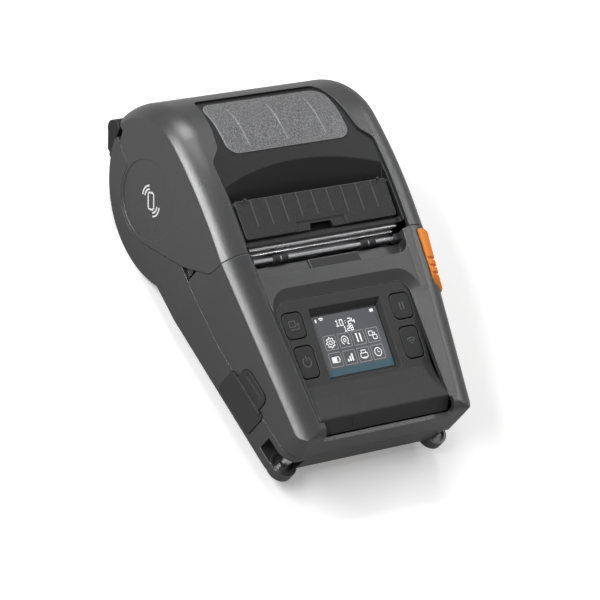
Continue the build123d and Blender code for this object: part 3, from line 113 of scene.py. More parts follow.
# %% Lamps
def lamp(name, place, target, size, power, roll=0.0):
    data = bpy.data.lights.new(name, "AREA")
    data.shape = "RECTANGLE"
    data.size = size[0]
    data.size_y = size[1]
    data.energy = power
    made = bpy.data.objects.new(name, data)
    bpy.context.scene.collection.objects.link(made)
    made.location = place
    made.rotation_mode = "QUATERNION"
    aim = (Vector(target) - Vector(place)).to_track_quat("-Z", "Y")
    made.rotation_quaternion = aim @ Quaternion((0, 0, 1), roll)
    print(name, power, "W")


TARGET = (0.0, 0.0, 0.04)
QUARTER_TURN = radians(90)
lamp("lamp_left", (-0.78, 0.14, 0.69), TARGET, (0.22, 0.8), 10.0, QUARTER_TURN)
lamp("lamp_top", (0.02, 0.60, 0.85), TARGET, (0.7, 0.25), 5.0)
lamp("lamp_right", (0.80, 0.10, 0.62), TARGET, (0.12, 0.7), 1.6, QUARTER_TURN)

# %% [markdown]
# The background is white only for rays that look at it: from the camera and through clear pieces.
# Reflections see a small share of that white: with all of it in the floor, the printer's sides
# come out much too pale. The light that falls on the printer is the world's plain strength.

# %% World
WHITE = (1, 1, 1, 1)
WORLD_LIGHT = 0.3
MIRRORED = 0.12


def background_share(tree):
    """1 for rays that see the white background, a small share of it for reflections, 0 for light."""
    rays = add_node(tree, "ShaderNodeLightPath")
    mirrored = math_node(tree, "MULTIPLY", rays.outputs["Is Glossy Ray"], MIRRORED)
    through = math_node(tree, "MAXIMUM", rays.outputs["Is Transmission Ray"], mirrored)
    return math_node(tree, "MAXIMUM", rays.outputs["Is Camera Ray"], through)


world = bpy.data.worlds.new("studio")
bpy.context.scene.world = world
world.use_nodes = True
tree = world.node_tree
tree.nodes.clear()
world_out = add_node(tree, "ShaderNodeOutputWorld")
world_light = add_node(tree, "ShaderNodeBackground", {"Color": WHITE, "Strength": WORLD_LIGHT})
world_seen = add_node(tree, "ShaderNodeBackground", {"Color": WHITE, "Strength": 1.0})
seen_mix = add_node(tree, "ShaderNodeMixShader")
tree.links.new(background_share(tree), seen_mix.inputs["Fac"])
tree.links.new(world_light.outputs[0], seen_mix.inputs[1])
tree.links.new(world_seen.outputs[0], seen_mix.inputs[2])
tree.links.new(seen_mix.outputs[0], world_out.inputs["Surface"])
bpy.context.scene.view_settings.view_transform = "Standard"
print("world light", WORLD_LIGHT)

# %% [markdown]
# The floor is one large square, a hair below the printer's feet, so that it takes the shadow and
# never touches a solid.

# %% Floor
FLOOR_HALF = 3.0
FLOOR_Z = -0.0002
corners = [(x * FLOOR_HALF, y * FLOOR_HALF, FLOOR_Z) for x, y in ((-1, -1), (1, -1), (1, 1), (-1, 1))]
floor_mesh = bpy.data.meshes.new("floor")
floor_mesh.from_pydata(corners, [], [(0, 1, 2, 3)])
floor = bpy.data.objects.new("floor", floor_mesh)
bpy.context.scene.collection.objects.link(floor)
print("floor", 2 * FLOOR_HALF, "m wide")

# %% [markdown]
# Moulded plastic is never smooth: the mould is etched, so the skin has a fine grain. The grain
# is one node group, used by every plastic with its own size and depth. It works in the
# object's own coordinates, in metres, so it needs no unwrapping.

# %% Grain group
def make_grain_group():
    group, get, put = new_group(
        "grain", [("Size", 0.0004), ("Depth", 1.0)],
        [("Height", "NodeSocketFloat"), ("Fleck", "NodeSocketFloat")])
    coords = add_node(group, "ShaderNodeTexCoord")
    scale = math_node(group, "DIVIDE", 1.0, get.outputs["Size"])
    fine = add_node(group, "ShaderNodeTexNoise", {"Detail": 2.0, "Roughness": 0.6})
    group.links.new(coords.outputs["Object"], fine.inputs["Vector"])
    group.links.new(scale, fine.inputs["Scale"])
    cells = add_node(group, "ShaderNodeTexVoronoi", {"Randomness": 1.0})
    group.links.new(coords.outputs["Object"], cells.inputs["Vector"])
    group.links.new(scale, cells.inputs["Scale"])
    dimples = math_node(group, "MULTIPLY", cells.outputs["Distance"], 0.6)
    total = math_node(group, "ADD", dimples, fine.outputs["Fac"])
    group.links.new(math_node(group, "MULTIPLY", total, get.outputs["Depth"]), put.inputs["Height"])
    group.links.new(fine.outputs["Fac"], put.inputs["Fleck"])
    return group


GRAIN = make_grain_group()
print("group", GRAIN.name)

# %% [markdown]
# Edges are a little lighter and smoother than the faces between them: the lighter colour is
# partly wear from handling and partly a painted highlight. A Bevel node gives the normal that a
# rounded edge would have, and where it differs from the true normal, there is an edge. The same
# normal also rounds the edge for the light.

# %% Edge group
def make_edge_group():
    group, get, put = new_group(
        "soft_edge", [("Reach", 0.0006)],
        [("Normal", "NodeSocketVector"), ("Mask", "NodeSocketFloat")])
    round_off = add_node(group, "ShaderNodeBevel", samples=6)
    group.links.new(get.outputs["Reach"], round_off.inputs["Radius"])
    flat = add_node(group, "ShaderNodeNewGeometry")
    dot = add_node(group, "ShaderNodeVectorMath", operation="DOT_PRODUCT")
    group.links.new(round_off.outputs["Normal"], dot.inputs[0])
    group.links.new(flat.outputs["Normal"], dot.inputs[1])
    bent = math_node(group, "SUBTRACT", 1.0, dot.outputs["Value"])
    mask = math_node(group, "MULTIPLY", bent, 5.0, clamp=True)
    group.links.new(round_off.outputs["Normal"], put.inputs["Normal"])
    group.links.new(mask, put.inputs["Mask"])
    return group


EDGE = make_edge_group()
print("group", EDGE.name)

# %% [markdown]
# A used printer picks up faint dust and finger grease. A slow noise moves a value between a low
# and a high one. Most finishes use it for the roughness, and the lit display for its colour.

# %% Dust group
def make_dust_group():
    group, get, put = new_group(
        "dust", [("Size", 0.03), ("Low", 0.4), ("High", 0.6)],
        [("Value", "NodeSocketFloat")])
    coords = add_node(group, "ShaderNodeTexCoord")
    cloud = add_node(group, "ShaderNodeTexNoise", {"Detail": 4.0, "Roughness": 0.55})
    group.links.new(coords.outputs["Object"], cloud.inputs["Vector"])
    group.links.new(math_node(group, "DIVIDE", 1.0, get.outputs["Size"]), cloud.inputs["Scale"])
    spread = add_node(group, "ShaderNodeMapRange", {"From Min": 0.3, "From Max": 0.7})
    group.links.new(cloud.outputs["Fac"], spread.inputs["Value"])
    group.links.new(get.outputs["Low"], spread.inputs["To Min"])
    group.links.new(get.outputs["High"], spread.inputs["To Max"])
    group.links.new(spread.outputs["Result"], put.inputs["Value"])
    return group


DUST = make_dust_group()
print("group", DUST.name)

# %% [markdown]
# Drawn and ground metal has fine scratches that all run one way. Stretching a noise along that
# way gives them: the group takes the length of a streak along each axis, in metres.

# %% Brush group
def make_brush_group():
    group, get, put = new_group(
        "brushed", [("Size X", 0.02), ("Size Y", 0.0002), ("Size Z", 0.0002)],
        [("Height", "NodeSocketFloat"), ("Fleck", "NodeSocketFloat")])
    coords = add_node(group, "ShaderNodeTexCoord")
    sizes = add_node(group, "ShaderNodeCombineXYZ")
    for axis in "XYZ":
        group.links.new(get.outputs["Size " + axis], sizes.inputs[axis])
    stretched = add_node(group, "ShaderNodeVectorMath", operation="DIVIDE")
    group.links.new(coords.outputs["Object"], stretched.inputs[0])
    group.links.new(sizes.outputs["Vector"], stretched.inputs[1])
    scratches = add_node(group, "ShaderNodeTexNoise", {"Scale": 1.0, "Detail": 2.0, "Roughness": 0.6})
    group.links.new(stretched.outputs["Vector"], scratches.inputs["Vector"])
    group.links.new(scratches.outputs["Fac"], put.inputs["Height"])
    group.links.new(scratches.outputs["Fac"], put.inputs["Fleck"])
    return group


BRUSH = make_brush_group()
print("group", BRUSH.name)

# %% [markdown]
# Nearly every finish has the same build: grain or brushing, soft edges and dust feed one
# Principled shader. So one function makes them all, and each call gives only what differs.

# %% Base of every finish
def rgba(colour):
    return (*colour, 1.0)


def mix_colours(tree, factor, a, b):
    """Colour between a and b, each of them a colour or a socket."""
    mix = add_node(tree, "ShaderNodeMix", data_type="RGBA")
    tree.links.new(factor, mix.inputs["Factor"])
    for label, value in (("A", a), ("B", b)):
        if isinstance(value, tuple):
            mix.inputs[label].default_value = rgba(value)
        else:
            tree.links.new(value, mix.inputs[label])
    return mix.outputs["Result"]


def bump_surface(tree, shader, height, edges, strength, distance):
    """Give the shader the rounded edge normal, roughened by a height."""
    bump = add_node(tree, "ShaderNodeBump", {"Strength": strength, "Distance": distance})
    tree.links.new(height, bump.inputs["Height"])
    tree.links.new(edges.outputs["Normal"], bump.inputs["Normal"])
    tree.links.new(bump.outputs["Normal"], shader.inputs["Normal"])


def place_group(tree, group, **values):
    return add_node(tree, "ShaderNodeGroup", values, node_tree=group)


def new_material(name):
    """A material, its node tree and its Principled shader."""
    made = bpy.data.materials.new(name)
    made.use_nodes = True
    return made, made.node_tree, made.node_tree.nodes["Principled BSDF"]


CLOUD_SIZE = 0.03


def finish_material(name, colour, light, rough, grain, depth, edge=0.0005, metal=0.0,
                    specular=0.5, fleck_share=0.25, edge_wear_and_sheen_share=0.7, brush=None):
    """A grained skin: colour on the faces, light on its flecks and on its edges as wear and painted
    highlight, rough as (low, high).
    """
    made, tree, shader = new_material(name)
    shader.inputs["Metallic"].default_value = metal
    shader.inputs["Specular IOR Level"].default_value = specular
    if brush:
        sizes = {"Size " + axis: length for axis, length in zip("XYZ", brush)}
        grains = place_group(tree, BRUSH, **sizes)
    else:
        grains = place_group(tree, GRAIN, Size=grain, Depth=1.0)
    edges = place_group(tree, EDGE, Reach=edge)
    dust = place_group(tree, DUST, Size=CLOUD_SIZE, Low=rough[0], High=rough[1])
    tree.links.new(dust.outputs["Value"], shader.inputs["Roughness"])
    fleck = math_node(tree, "MULTIPLY", grains.outputs["Fleck"], fleck_share)
    # The edge mask gives the edges the light colour: partly wear, partly a painted highlight.
    share = math_node(tree, "MULTIPLY_ADD", edges.outputs["Mask"], edge_wear_and_sheen_share)
    tree.links.new(fleck, share.node.inputs[2])
    tree.links.new(mix_colours(tree, share, colour, light), shader.inputs["Base Color"])
    bump_surface(tree, shader, grains.outputs["Height"], edges, depth, grain / 2)
    return made


print("finish builder ready")

# %% [markdown]
# The outer plastics are charcoal with a fine matt grain. The insert, the flap and the display
# bezel are nearly black. Each call gives the colour of the faces, then that of the edges, which is
# partly wear and partly a painted highlight, and the lowest and highest roughness.

# %% Outer plastics
def casing_finish(name, colour, light):
    """The grained, rather shiny skin of the outer shells."""
    return finish_material(name, colour, light, (0.27, 0.33), 0.00035, 0.30, specular=1.0)


CASE_COLOUR, CASE_EDGE_WEAR_AND_SHEEN = (0.021, 0.021, 0.0215), (0.075, 0.075, 0.077)
case_plastic = casing_finish("case_plastic", CASE_COLOUR, CASE_EDGE_WEAR_AND_SHEEN)
front_plastic = casing_finish("front_plastic", CASE_COLOUR, CASE_EDGE_WEAR_AND_SHEEN)
cover_plastic = casing_finish("cover_plastic", (0.025, 0.025, 0.0255), (0.085, 0.085, 0.087))
# The insert's wide edge reach paints a broad highlight along its crest.
insert_plastic = finish_material(
    "insert_plastic", (0.010, 0.010, 0.010), (0.05, 0.05, 0.051), (0.30, 0.38), 0.0003, 0.12,
    edge=0.0011, specular=0.3)
# The flap's pale edge colour paints highlight lines along its ribs.
flap_plastic = finish_material(
    "flap_plastic", (0.009, 0.009, 0.009), (0.14, 0.14, 0.143), (0.46, 0.56), 0.0006, 0.8, specular=0.3)
bezel_plastic = finish_material(
    "bezel_plastic", (0.020, 0.020, 0.021), (0.075, 0.075, 0.077), (0.42, 0.5), 0.0005, 0.35,
    specular=0.35)
lever_plastic = finish_material(
    "lever_plastic", (0.92, 0.25, 0.012), (1.0, 0.42, 0.08), (0.42, 0.5), 0.0004, 0.2)
battery_plastic = finish_material(
    "battery_plastic", (0.025, 0.025, 0.027), (0.07, 0.07, 0.073), (0.46, 0.56), 0.0004, 0.35)
print("outer plastics made")

# %% [markdown]
# Inside, nobody sees much: the moulded frames are plain black, the gears are the milky nylon that
# small printers use, and bought-in parts are black or dark grey.

# %% Inner plastics
inner_plastic = finish_material(
    "inner_plastic", (0.014, 0.014, 0.015), (0.04, 0.04, 0.042), (0.5, 0.6), 0.0005, 0.3)
gear_plastic = finish_material(
    "gear_plastic", (0.62, 0.6, 0.54), (0.75, 0.73, 0.68), (0.4, 0.5), 0.0005, 0.2)
part_black = finish_material(
    "part_black", (0.02, 0.02, 0.02), (0.05, 0.05, 0.05), (0.35, 0.45), 0.0004, 0.2)
module_plastic = finish_material(
    "module_plastic", (0.05, 0.05, 0.052), (0.09, 0.09, 0.092), (0.4, 0.5), 0.0004, 0.2)
print("inner plastics made")

# %% [markdown]
# The floor of the recess in front of the paper exit gets a painted shade, darker than the casing
# that it is moulded in. A box in the object's own space picks out that part of the surface: each
# axis gives one where the point is near the middle of the box, and the product is the mask.

# %% Painted shade on the floor of the exit
def paint_box(material, low, high, colour):
    """Colour the part of a material's surface that lies in the box from low to high."""
    tree = material.node_tree
    shader = tree.nodes["Principled BSDF"]
    below = shader.inputs["Base Color"].links[0].from_socket
    coords = add_node(tree, "ShaderNodeTexCoord")
    parts = add_node(tree, "ShaderNodeSeparateXYZ")
    tree.links.new(coords.outputs["Object"], parts.inputs["Vector"])
    inside = 1.0
    for axis, a, b in zip("XYZ", low, high):
        near = math_node(tree, "COMPARE", parts.outputs[axis], (a + b) / 2)
        near.node.inputs[2].default_value = (b - a) / 2
        inside = math_node(tree, "MULTIPLY", near, inside)
    tree.links.new(mix_colours(tree, inside, below, colour), shader.inputs["Base Color"])


# The box holds the recess floor, which gets a painted shade.
RECESS_SHADE_LOW, RECESS_SHADE_HIGH = (-0.0436, -0.0114, 0.035), (0.0436, -0.0006, 0.0496)
paint_box(front_plastic, RECESS_SHADE_LOW, RECESS_SHADE_HIGH, (0.014, 0.014, 0.014))
print("recess painted")

# %% [markdown]
# Rubber spreads the light more than plastic does. The keys and the port cover are soft silicone
# with a faint sheen, and the rollers are matt, so that they grip the paper.

# %% Rubbers
key_rubber = finish_material(
    "key_rubber", (0.012, 0.012, 0.013), (0.07, 0.07, 0.072), (0.44, 0.54), 0.0003, 0.2, specular=0.35)
roller_rubber = finish_material(
    "roller_rubber", (0.010, 0.010, 0.011), (0.03, 0.03, 0.031), (0.6, 0.7), 0.0003, 0.3)
door_rubber = finish_material(
    "door_rubber", (0.022, 0.022, 0.023), (0.07, 0.07, 0.072), (0.46, 0.56), 0.0004, 0.3, specular=0.4)
print("rubbers made")

# %% [markdown]
# Bare metals are a bright colour with Metallic at one. Their grain is shallow, and the roughness
# decides whether they mirror the lamps as a line, like the polished bar, or spread them.

# %% Metals and boards
steel = finish_material(
    "steel", (0.62, 0.62, 0.63), (0.8, 0.8, 0.81), (0.2, 0.3), 0.0002, 0.1, metal=1.0,
    brush=(0.02, 0.0002, 0.0002))
pin_steel = finish_material(
    "pin_steel", (0.35, 0.35, 0.36), (0.95, 0.95, 0.96), (0.2, 0.3), 0.0004, 0.5, metal=1.0,
    fleck_share=1.0, brush=(0.0006, 0.0006, 0.03))
sink_metal = finish_material(
    "sink_metal", (0.5, 0.5, 0.52), (0.7, 0.7, 0.71), (0.4, 0.5), 0.0005, 0.3, metal=1.0)
contact_metal = finish_material(
    "contact_metal", (0.75, 0.5, 0.18), (0.85, 0.62, 0.28), (0.3, 0.4), 0.0003, 0.1, metal=1.0)
plate_metal = finish_material(
    "plate_metal", (0.008, 0.008, 0.008), (0.1, 0.1, 0.102), (0.3, 0.4), 0.0003, 0.1, specular=0.35)
motor_metal = finish_material(
    "motor_metal", (0.05, 0.05, 0.052), (0.1, 0.1, 0.102), (0.35, 0.45), 0.0005, 0.2, metal=0.6)
head_ceramic = finish_material(
    "head_ceramic", (0.35, 0.34, 0.32), (0.5, 0.49, 0.47), (0.25, 0.35), 0.0005, 0.1)
board_green = finish_material(
    "board_green", (0.012, 0.09, 0.045), (0.03, 0.14, 0.07), (0.3, 0.4), 0.0006, 0.15)
print("metals and boards made")

# %% [markdown]
# The real window is smoky plastic with a sparkling grain, and hardly lets one see inside. So it
# gets an opaque finish: a fine noise between a dark and a pale grey, with a painted highlight as a
# paler rim. The display glass is nearly black and smooth.

# %% Window and glass
def make_window_material():
    made, tree, shader = new_material("window_plastic")
    shader.inputs["Specular IOR Level"].default_value = 0.5
    coords = add_node(tree, "ShaderNodeTexCoord")
    specks = add_node(tree, "ShaderNodeTexNoise", {"Scale": 1700.0, "Detail": 3.0, "Roughness": 0.7})
    tree.links.new(coords.outputs["Object"], specks.inputs["Vector"])
    ramp = add_node(tree, "ShaderNodeValToRGB")
    dark, pale = ramp.color_ramp.elements
    dark.position = 0.42
    dark.color = rgba((0.07, 0.07, 0.072))
    pale.position = 0.66
    pale.color = rgba((0.23, 0.23, 0.235))
    tree.links.new(specks.outputs["Fac"], ramp.inputs["Fac"])
    edges = place_group(tree, EDGE, Reach=0.0009)
    # The edge mask paints a highlight on the window's rim.
    painted_rim_highlight = math_node(tree, "MULTIPLY", edges.outputs["Mask"], 0.8)
    colour = mix_colours(tree, painted_rim_highlight, ramp.outputs["Color"], (0.4, 0.4, 0.41))
    tree.links.new(colour, shader.inputs["Base Color"])
    dust = place_group(tree, DUST, Size=0.02, Low=0.22, High=0.34)
    tree.links.new(dust.outputs["Value"], shader.inputs["Roughness"])
    bump_surface(tree, shader, specks.outputs["Fac"], edges, 0.25, 0.0001)
    return made


window_plastic = make_window_material()
screen_glass = finish_material(
    "screen_glass", (0.02, 0.02, 0.022), (0.04, 0.04, 0.045), (0.08, 0.12), 0.0005, 0.02)
print("window and glass made")

# %% [markdown]
# Every solid of the frame now gets its finish. The list is sorted by finish, so that it reads like
# a parts list: which pieces are moulded, turned, pressed or bought in.

# %% Dress the CAD nodes
FINISHES = {
    case_plastic: ["base_shell"],
    front_plastic: ["front_casing"],
    cover_plastic: ["media_cover"],
    insert_plastic: ["cover_insert", "peel_brackets", "hinge_bracket"],
    window_plastic: ["media_window"],
    flap_plastic: ["peel_flap"],
    bezel_plastic: ["display_bezel"],
    inner_plastic: ["platen_bearings", "latch_hook_left", "latch_hook_right", "port_frame", "roll_tub",
                    "roll_guide_left", "roll_guide_right"],
    lever_plastic: ["open_lever", "battery_latch"],
    gear_plastic: ["platen_gear", "idler_gear", "guide_pinion"],
    battery_plastic: ["battery_pack"],
    part_black: ["key_switches", "power_jack", "radio_module", "buzzer", "media_sensor"],
    module_plastic: ["lcd_module"],
    key_rubber: ["feed_key", "power_key", "pause_key", "pair_key"],
    roller_rubber: ["platen_roller", "peel_rollers"],
    door_rubber: ["port_door"],
    steel: ["tear_bar", "platen_shaft", "idler_pin", "head_bracket", "serrated_strip", "head_springs",
            "peel_shaft", "latch_shaft", "usb_port", "pinion_pin", "hinge_pin",
            "hinge_spring", "case_screws"],
    pin_steel: ["strap_pins"],
    sink_metal: ["head_heatsink"],
    contact_metal: ["motor_pinion", "battery_contacts", "tag_antenna"],
    plate_metal: ["name_plate"],
    motor_metal: ["step_motor"],
    head_ceramic: ["print_head"],
    board_green: ["display_board", "main_board"],
    screen_glass: ["lcd_glass"],
}
dressed = 0
for finish, names in FINISHES.items():
    for name in names:
        for place in NODES[name].material_slots:
            place.material = finish
        dressed += 1
print("dressed", dressed, "of", len(NODES))

# %% [markdown]
# Printed signs are thin ribbons of ink. Each sign is a list of strokes in its own flat space, in
# millimetres: a line, a closed loop or a filled shape. One helper turns such a list into a mesh
# in the plane that carries it, and a Solidify modifier gives it the thickness of a print.

# %% Stroke helpers
def arc(cx, cy, r, start, end, steps=14):
    angles = [radians(start + (end - start) * i / steps) for i in range(steps + 1)]
    return [(cx + r * cos(a), cy + r * sin(a)) for a in angles]


def circle(cx, cy, r, steps=24):
    return arc(cx, cy, r, 0, 360 - 360 / steps, steps - 1)


def rounded_box(cx, cy, w, h, r):
    points = []
    for sx, sy, start in ((1, 1, 0), (-1, 1, 90), (-1, -1, 180), (1, -1, 270)):
        points += arc(cx + sx * (w / 2 - r), cy + sy * (h / 2 - r), r, start, start + 90, 4)
    return points


def surface_plane(origin, across, up):
    """Matrix from (across, up, outwards) in millimetres to the frame in metres."""
    u = Vector(across).normalized()
    v = Vector(up).normalized()
    axes = Matrix((u, v, u.cross(v))).transposed().to_4x4()
    return Matrix.Translation(Vector(origin) * MM) @ axes @ Matrix.Scale(MM, 4)


def add_ribbon(bm, place, points, width, closed):
    """Faces of a ribbon of even width along points, its corners mitred."""
    count = len(points)
    flat = [Vector(p) for p in points]
    left, right = [], []
    for i, spot in enumerate(flat):
        before = flat[i - 1] if i or closed else spot
        after = flat[(i + 1) % count] if i < count - 1 or closed else spot
        a = (spot - before).normalized() if spot != before else (after - spot).normalized()
        b = (after - spot).normalized() if after != spot else a
        along = (a + b).normalized()
        side = Vector((-along.y, along.x)) * (width / 2 / max(0.5, along.dot(a)))
        left.append(bm.verts.new(place @ Vector((*(spot + side), 0))))
        right.append(bm.verts.new(place @ Vector((*(spot - side), 0))))
    for i in range(count if closed else count - 1):
        j = (i + 1) % count
        bm.faces.new((right[i], right[j], left[j], left[i]))


def make_sign(name, place, strokes, material, body, thick=0.03):
    """Strokes are (kind, width, points); kind is line, loop or fill."""
    bm = bmesh.new()
    for kind, width, points in strokes:
        if kind == "fill":
            bm.faces.new([bm.verts.new(place @ Vector((*p, 0))) for p in points])
        else:
            add_ribbon(bm, place, points, width, kind == "loop")
    mesh = bpy.data.meshes.new(name)
    bm.to_mesh(mesh)
    bm.free()
    sign = bpy.data.objects.new(name, mesh)
    bpy.context.scene.collection.objects.link(sign)
    body_mod = sign.modifiers.new("print", "SOLIDIFY")
    body_mod.thickness = thick * MM
    body_mod.offset = 1.0
    mesh.materials.append(material)
    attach(sign, body)
    print(name, "strokes", len(strokes), "faces", len(mesh.polygons))


print("stroke helpers ready")

# %% [markdown]
# Ink is a finish like the others, with next to no grain and no lighter edges, neither worn nor
# painted highlight. White marks the tag recess, greys mark the keys and the plate.

# %% Inks
def ink_material(name, colour, other, rough=(0.5, 0.6)):
    return finish_material(name, colour, other, rough, 0.0002, 0.05, edge=0.0001, edge_wear_and_sheen_share=0.0)


white_ink = ink_material("white_ink", (0.8, 0.8, 0.8), (0.7, 0.7, 0.7))
grey_ink = ink_material("grey_ink", (0.085, 0.085, 0.087), (0.06, 0.06, 0.062))
plate_line_colour = ink_material("plate_line_colour", (0.16, 0.165, 0.17), (0.1, 0.1, 0.105))
print("inks made")

# %% [markdown]
# A round recess on the cover's left cheek marks where a tag is read. Its sign is a small slab
# between two pairs of arcs, which is a plain sign for a device that talks at short range.

# %% Tag sign
DISC_X, DISC_Y, DISC_Z = -57.95, 47.2, 30.0
tag_plane = surface_plane((DISC_X, DISC_Y, DISC_Z), (0, -1, 0), (0, 0, 1))
TAG_TURN_DEG = 46.6
TAG_LINE = 0.75
tag_turn = Matrix.Rotation(radians(TAG_TURN_DEG), 4, "Z")
tag_strokes = [("loop", TAG_LINE, rounded_box(0, 0, 3.9, 7.6, 1.2))]
for radius in (3.6, 5.2):
    tag_strokes.append(("line", TAG_LINE, arc(-0.6, 1.6, radius, 95, 175)))
    tag_strokes.append(("line", TAG_LINE, arc(0.6, -1.6, radius, -85, -5)))
make_sign("tag_sign", tag_plane @ tag_turn, tag_strokes, white_ink, "cover")

# %% [markdown]
# The display shows a menu: a status row, the time, a number, eight framed signs and a plain
# band. The lit picture is a thin sheet on the glass, and its signs lie on the sheet.

# %% Display picture
BEZEL_SLOPE = radians(14.6)
BEZEL_ORIGIN = (0.0, -43.15, 43.05)
BEZEL_UP = (0, cos(BEZEL_SLOPE), sin(BEZEL_SLOPE))
BEZEL_OUT = (0, -sin(BEZEL_SLOPE), cos(BEZEL_SLOPE))


def bezel_spot(x, y, out=0.0):
    """Plane at a spot of the sloping bezel, lifted outwards by out."""
    origin = [o + y * u + out * n for o, u, n in zip(BEZEL_ORIGIN, BEZEL_UP, BEZEL_OUT)]
    origin[0] = x
    return surface_plane(origin, (1, 0, 0), BEZEL_UP)


PICTURE_HALF = (18.9, 13.8)
PICTURE_SHIFT = -0.9
PICTURE_DEPTH = -2.64
PICTURE_THICK = 0.01
BAND_TOP = -10.6


def glow_material(name, low, high, strength):
    """A lit sheet whose colour drifts a little over its width."""
    made, tree, shader = new_material(name)
    drift = place_group(tree, DUST, Size=0.02, Low=0.0, High=1.0)
    colour = mix_colours(tree, drift.outputs["Value"], low, high)
    tree.links.new(colour, shader.inputs["Emission Color"])
    tree.links.new(colour, shader.inputs["Base Color"])
    shader.inputs["Emission Strength"].default_value = strength
    shader.inputs["Roughness"].default_value = 0.25
    shader.inputs["Specular IOR Level"].default_value = 0.3
    return made


screen_grey = glow_material("screen_grey", (0.055, 0.058, 0.062), (0.07, 0.073, 0.078), 0.6)
screen_blue = glow_material("screen_blue", (0.030, 0.062, 0.080), (0.042, 0.075, 0.092), 0.6)
screen_white = glow_material("screen_white", (0.75, 0.77, 0.78), (0.85, 0.86, 0.87), 0.3)
screen_pale = glow_material("screen_pale", (0.20, 0.20, 0.21), (0.26, 0.26, 0.27), 0.6)
half_wide, half_high = PICTURE_HALF
sheet = bezel_spot(0, PICTURE_SHIFT, PICTURE_DEPTH)


def sheet_part(low, high):
    return [("fill", 0, [(-half_wide, low), (half_wide, low), (half_wide, high), (-half_wide, high)])]


make_sign("screen_field", sheet, sheet_part(BAND_TOP, half_high), screen_grey, "base", PICTURE_THICK)
make_sign("screen_band", sheet, sheet_part(-half_high, BAND_TOP), screen_blue, "base", PICTURE_THICK)

# %% [markdown]
# A font would bring in someone's lettering, so the digits are strokes of a plain segment
# alphabet: each is a path on a grid that is one wide and two high.

# %% Digits of the display
DIGIT_PATHS = {
    "0": [[(0, 0), (1, 0), (1, 2), (0, 2), (0, 0)]],
    "1": [[(0.1, 1.6), (0.5, 2), (0.5, 0)], [(0, 0), (1, 0)]],
    "2": [[(0, 2), (1, 2), (1, 1), (0, 1), (0, 0), (1, 0)]],
    "4": [[(0, 2), (0, 0.8), (1, 0.8)], [(0.75, 1.4), (0.75, 0)]],
    "8": [[(0, 1), (1, 1), (1, 2), (0, 2), (0, 0), (1, 0), (1, 1)]],
    ":": [[(0.5, 0.5), (0.5, 0.75)], [(0.5, 1.3), (0.5, 1.55)]],
}


DIGIT_PITCH, DIGIT_WIDE = 0.9, 0.6


def write_digits(digits, cx, cy, size, width):
    """Strokes of digits centred on a spot, size high."""
    strokes = []
    pitch = size * DIGIT_PITCH
    wide = size * DIGIT_WIDE
    start = cx - pitch * (len(digits) - 1) / 2 - wide / 2
    for i, digit in enumerate(digits):
        for path in DIGIT_PATHS[digit]:
            points = [(start + i * pitch + x * wide, cy + (y - 1) * size / 2) for x, y in path]
            strokes.append(("line", width, points))
    return strokes


print("digits", len(DIGIT_PATHS))

# %% [markdown]
# Each of the eight signs is a function of the middle of its frame: settings, a roll of labels,
# tools, linked boxes, battery, signal bars, a printer and a clock.

# %% Framed signs of the display
def gear_sign(cx, cy, r):
    teeth = 8
    points = []
    for i in range(4 * teeth):
        reach = r if i % 4 in (0, 1) else r * 0.74
        angle = radians(90 / teeth * i)
        points.append((cx + reach * cos(angle), cy + reach * sin(angle)))
    return [("loop", 0.35, points), ("loop", 0.35, circle(cx, cy, r * 0.36, 12))]


def printer_sign(cx, cy):
    paper = [(cx - 1.2, cy + 0.7), (cx - 1.2, cy + 2.0), (cx + 1.2, cy + 2.0), (cx + 1.2, cy + 0.7)]
    return [("loop", 0.32, rounded_box(cx, cy - 0.3, 4.0, 2.0, 0.4)),
            ("line", 0.32, paper),
            ("line", 0.32, [(cx - 1.1, cy - 1.7), (cx + 1.1, cy - 1.7)])]


def roll_sign(cx, cy):
    return [("line", 0.35, arc(cx, cy, 1.9, -60, 250)), ("loop", 0.35, circle(cx, cy, 0.7, 12)),
            ("line", 0.35, [(cx + 0.9, cy - 1.7), (cx + 2.2, cy - 2.0)])]


def tools_sign(cx, cy):
    return [("line", 0.75, [(cx - 1.0, cy + 2.0), (cx - 0.9, cy - 2.0)]),
            ("line", 0.75, [(cx + 1.0, cy + 2.0), (cx + 1.1, cy - 2.0)]),
            ("line", 0.3, [(cx - 1.6, cy + 2.0), (cx - 0.4, cy + 2.0)])]


def linked_sign(cx, cy):
    return [("loop", 0.32, rounded_box(cx - 0.9, cy + 0.9, 2.2, 1.9, 0.3)),
            ("loop", 0.32, rounded_box(cx + 1.0, cy - 1.0, 2.2, 1.9, 0.3)),
            ("line", 0.32, [(cx + 0.3, cy + 1.0), (cx + 1.3, cy + 1.0), (cx + 1.3, cy)])]


def battery_sign(cx, cy):
    charge = [(cx - 1.7, cy - 0.9), (cx + 0.6, cy - 0.9), (cx + 0.6, cy + 0.9), (cx - 1.7, cy + 0.9)]
    return [("loop", 0.32, rounded_box(cx, cy, 4.0, 2.4, 0.4)),
            ("fill", 0, charge),
            ("line", 0.9, [(cx + 2.1, cy), (cx + 2.4, cy)])]


def bars_sign(cx, cy):
    heights = (1.2, 2.3, 3.4)
    return [("line", 0.8, [(cx - 1.3 + 1.3 * i, cy - 1.8), (cx - 1.3 + 1.3 * i, cy - 1.8 + tall)])
            for i, tall in enumerate(heights)]


def clock_sign(cx, cy):
    hands = [(cx, cy + 1.2), (cx, cy), (cx + 0.9, cy - 0.3)]
    return [("loop", 0.35, circle(cx, cy, 1.9, 20)), ("line", 0.3, hands)]


print("framed signs ready")

# %% [markdown]
# The picture is laid out on a grid of two rows and four columns. The clock time and the number
# stand above it, with a radio mark at the left and a battery mark at the right.

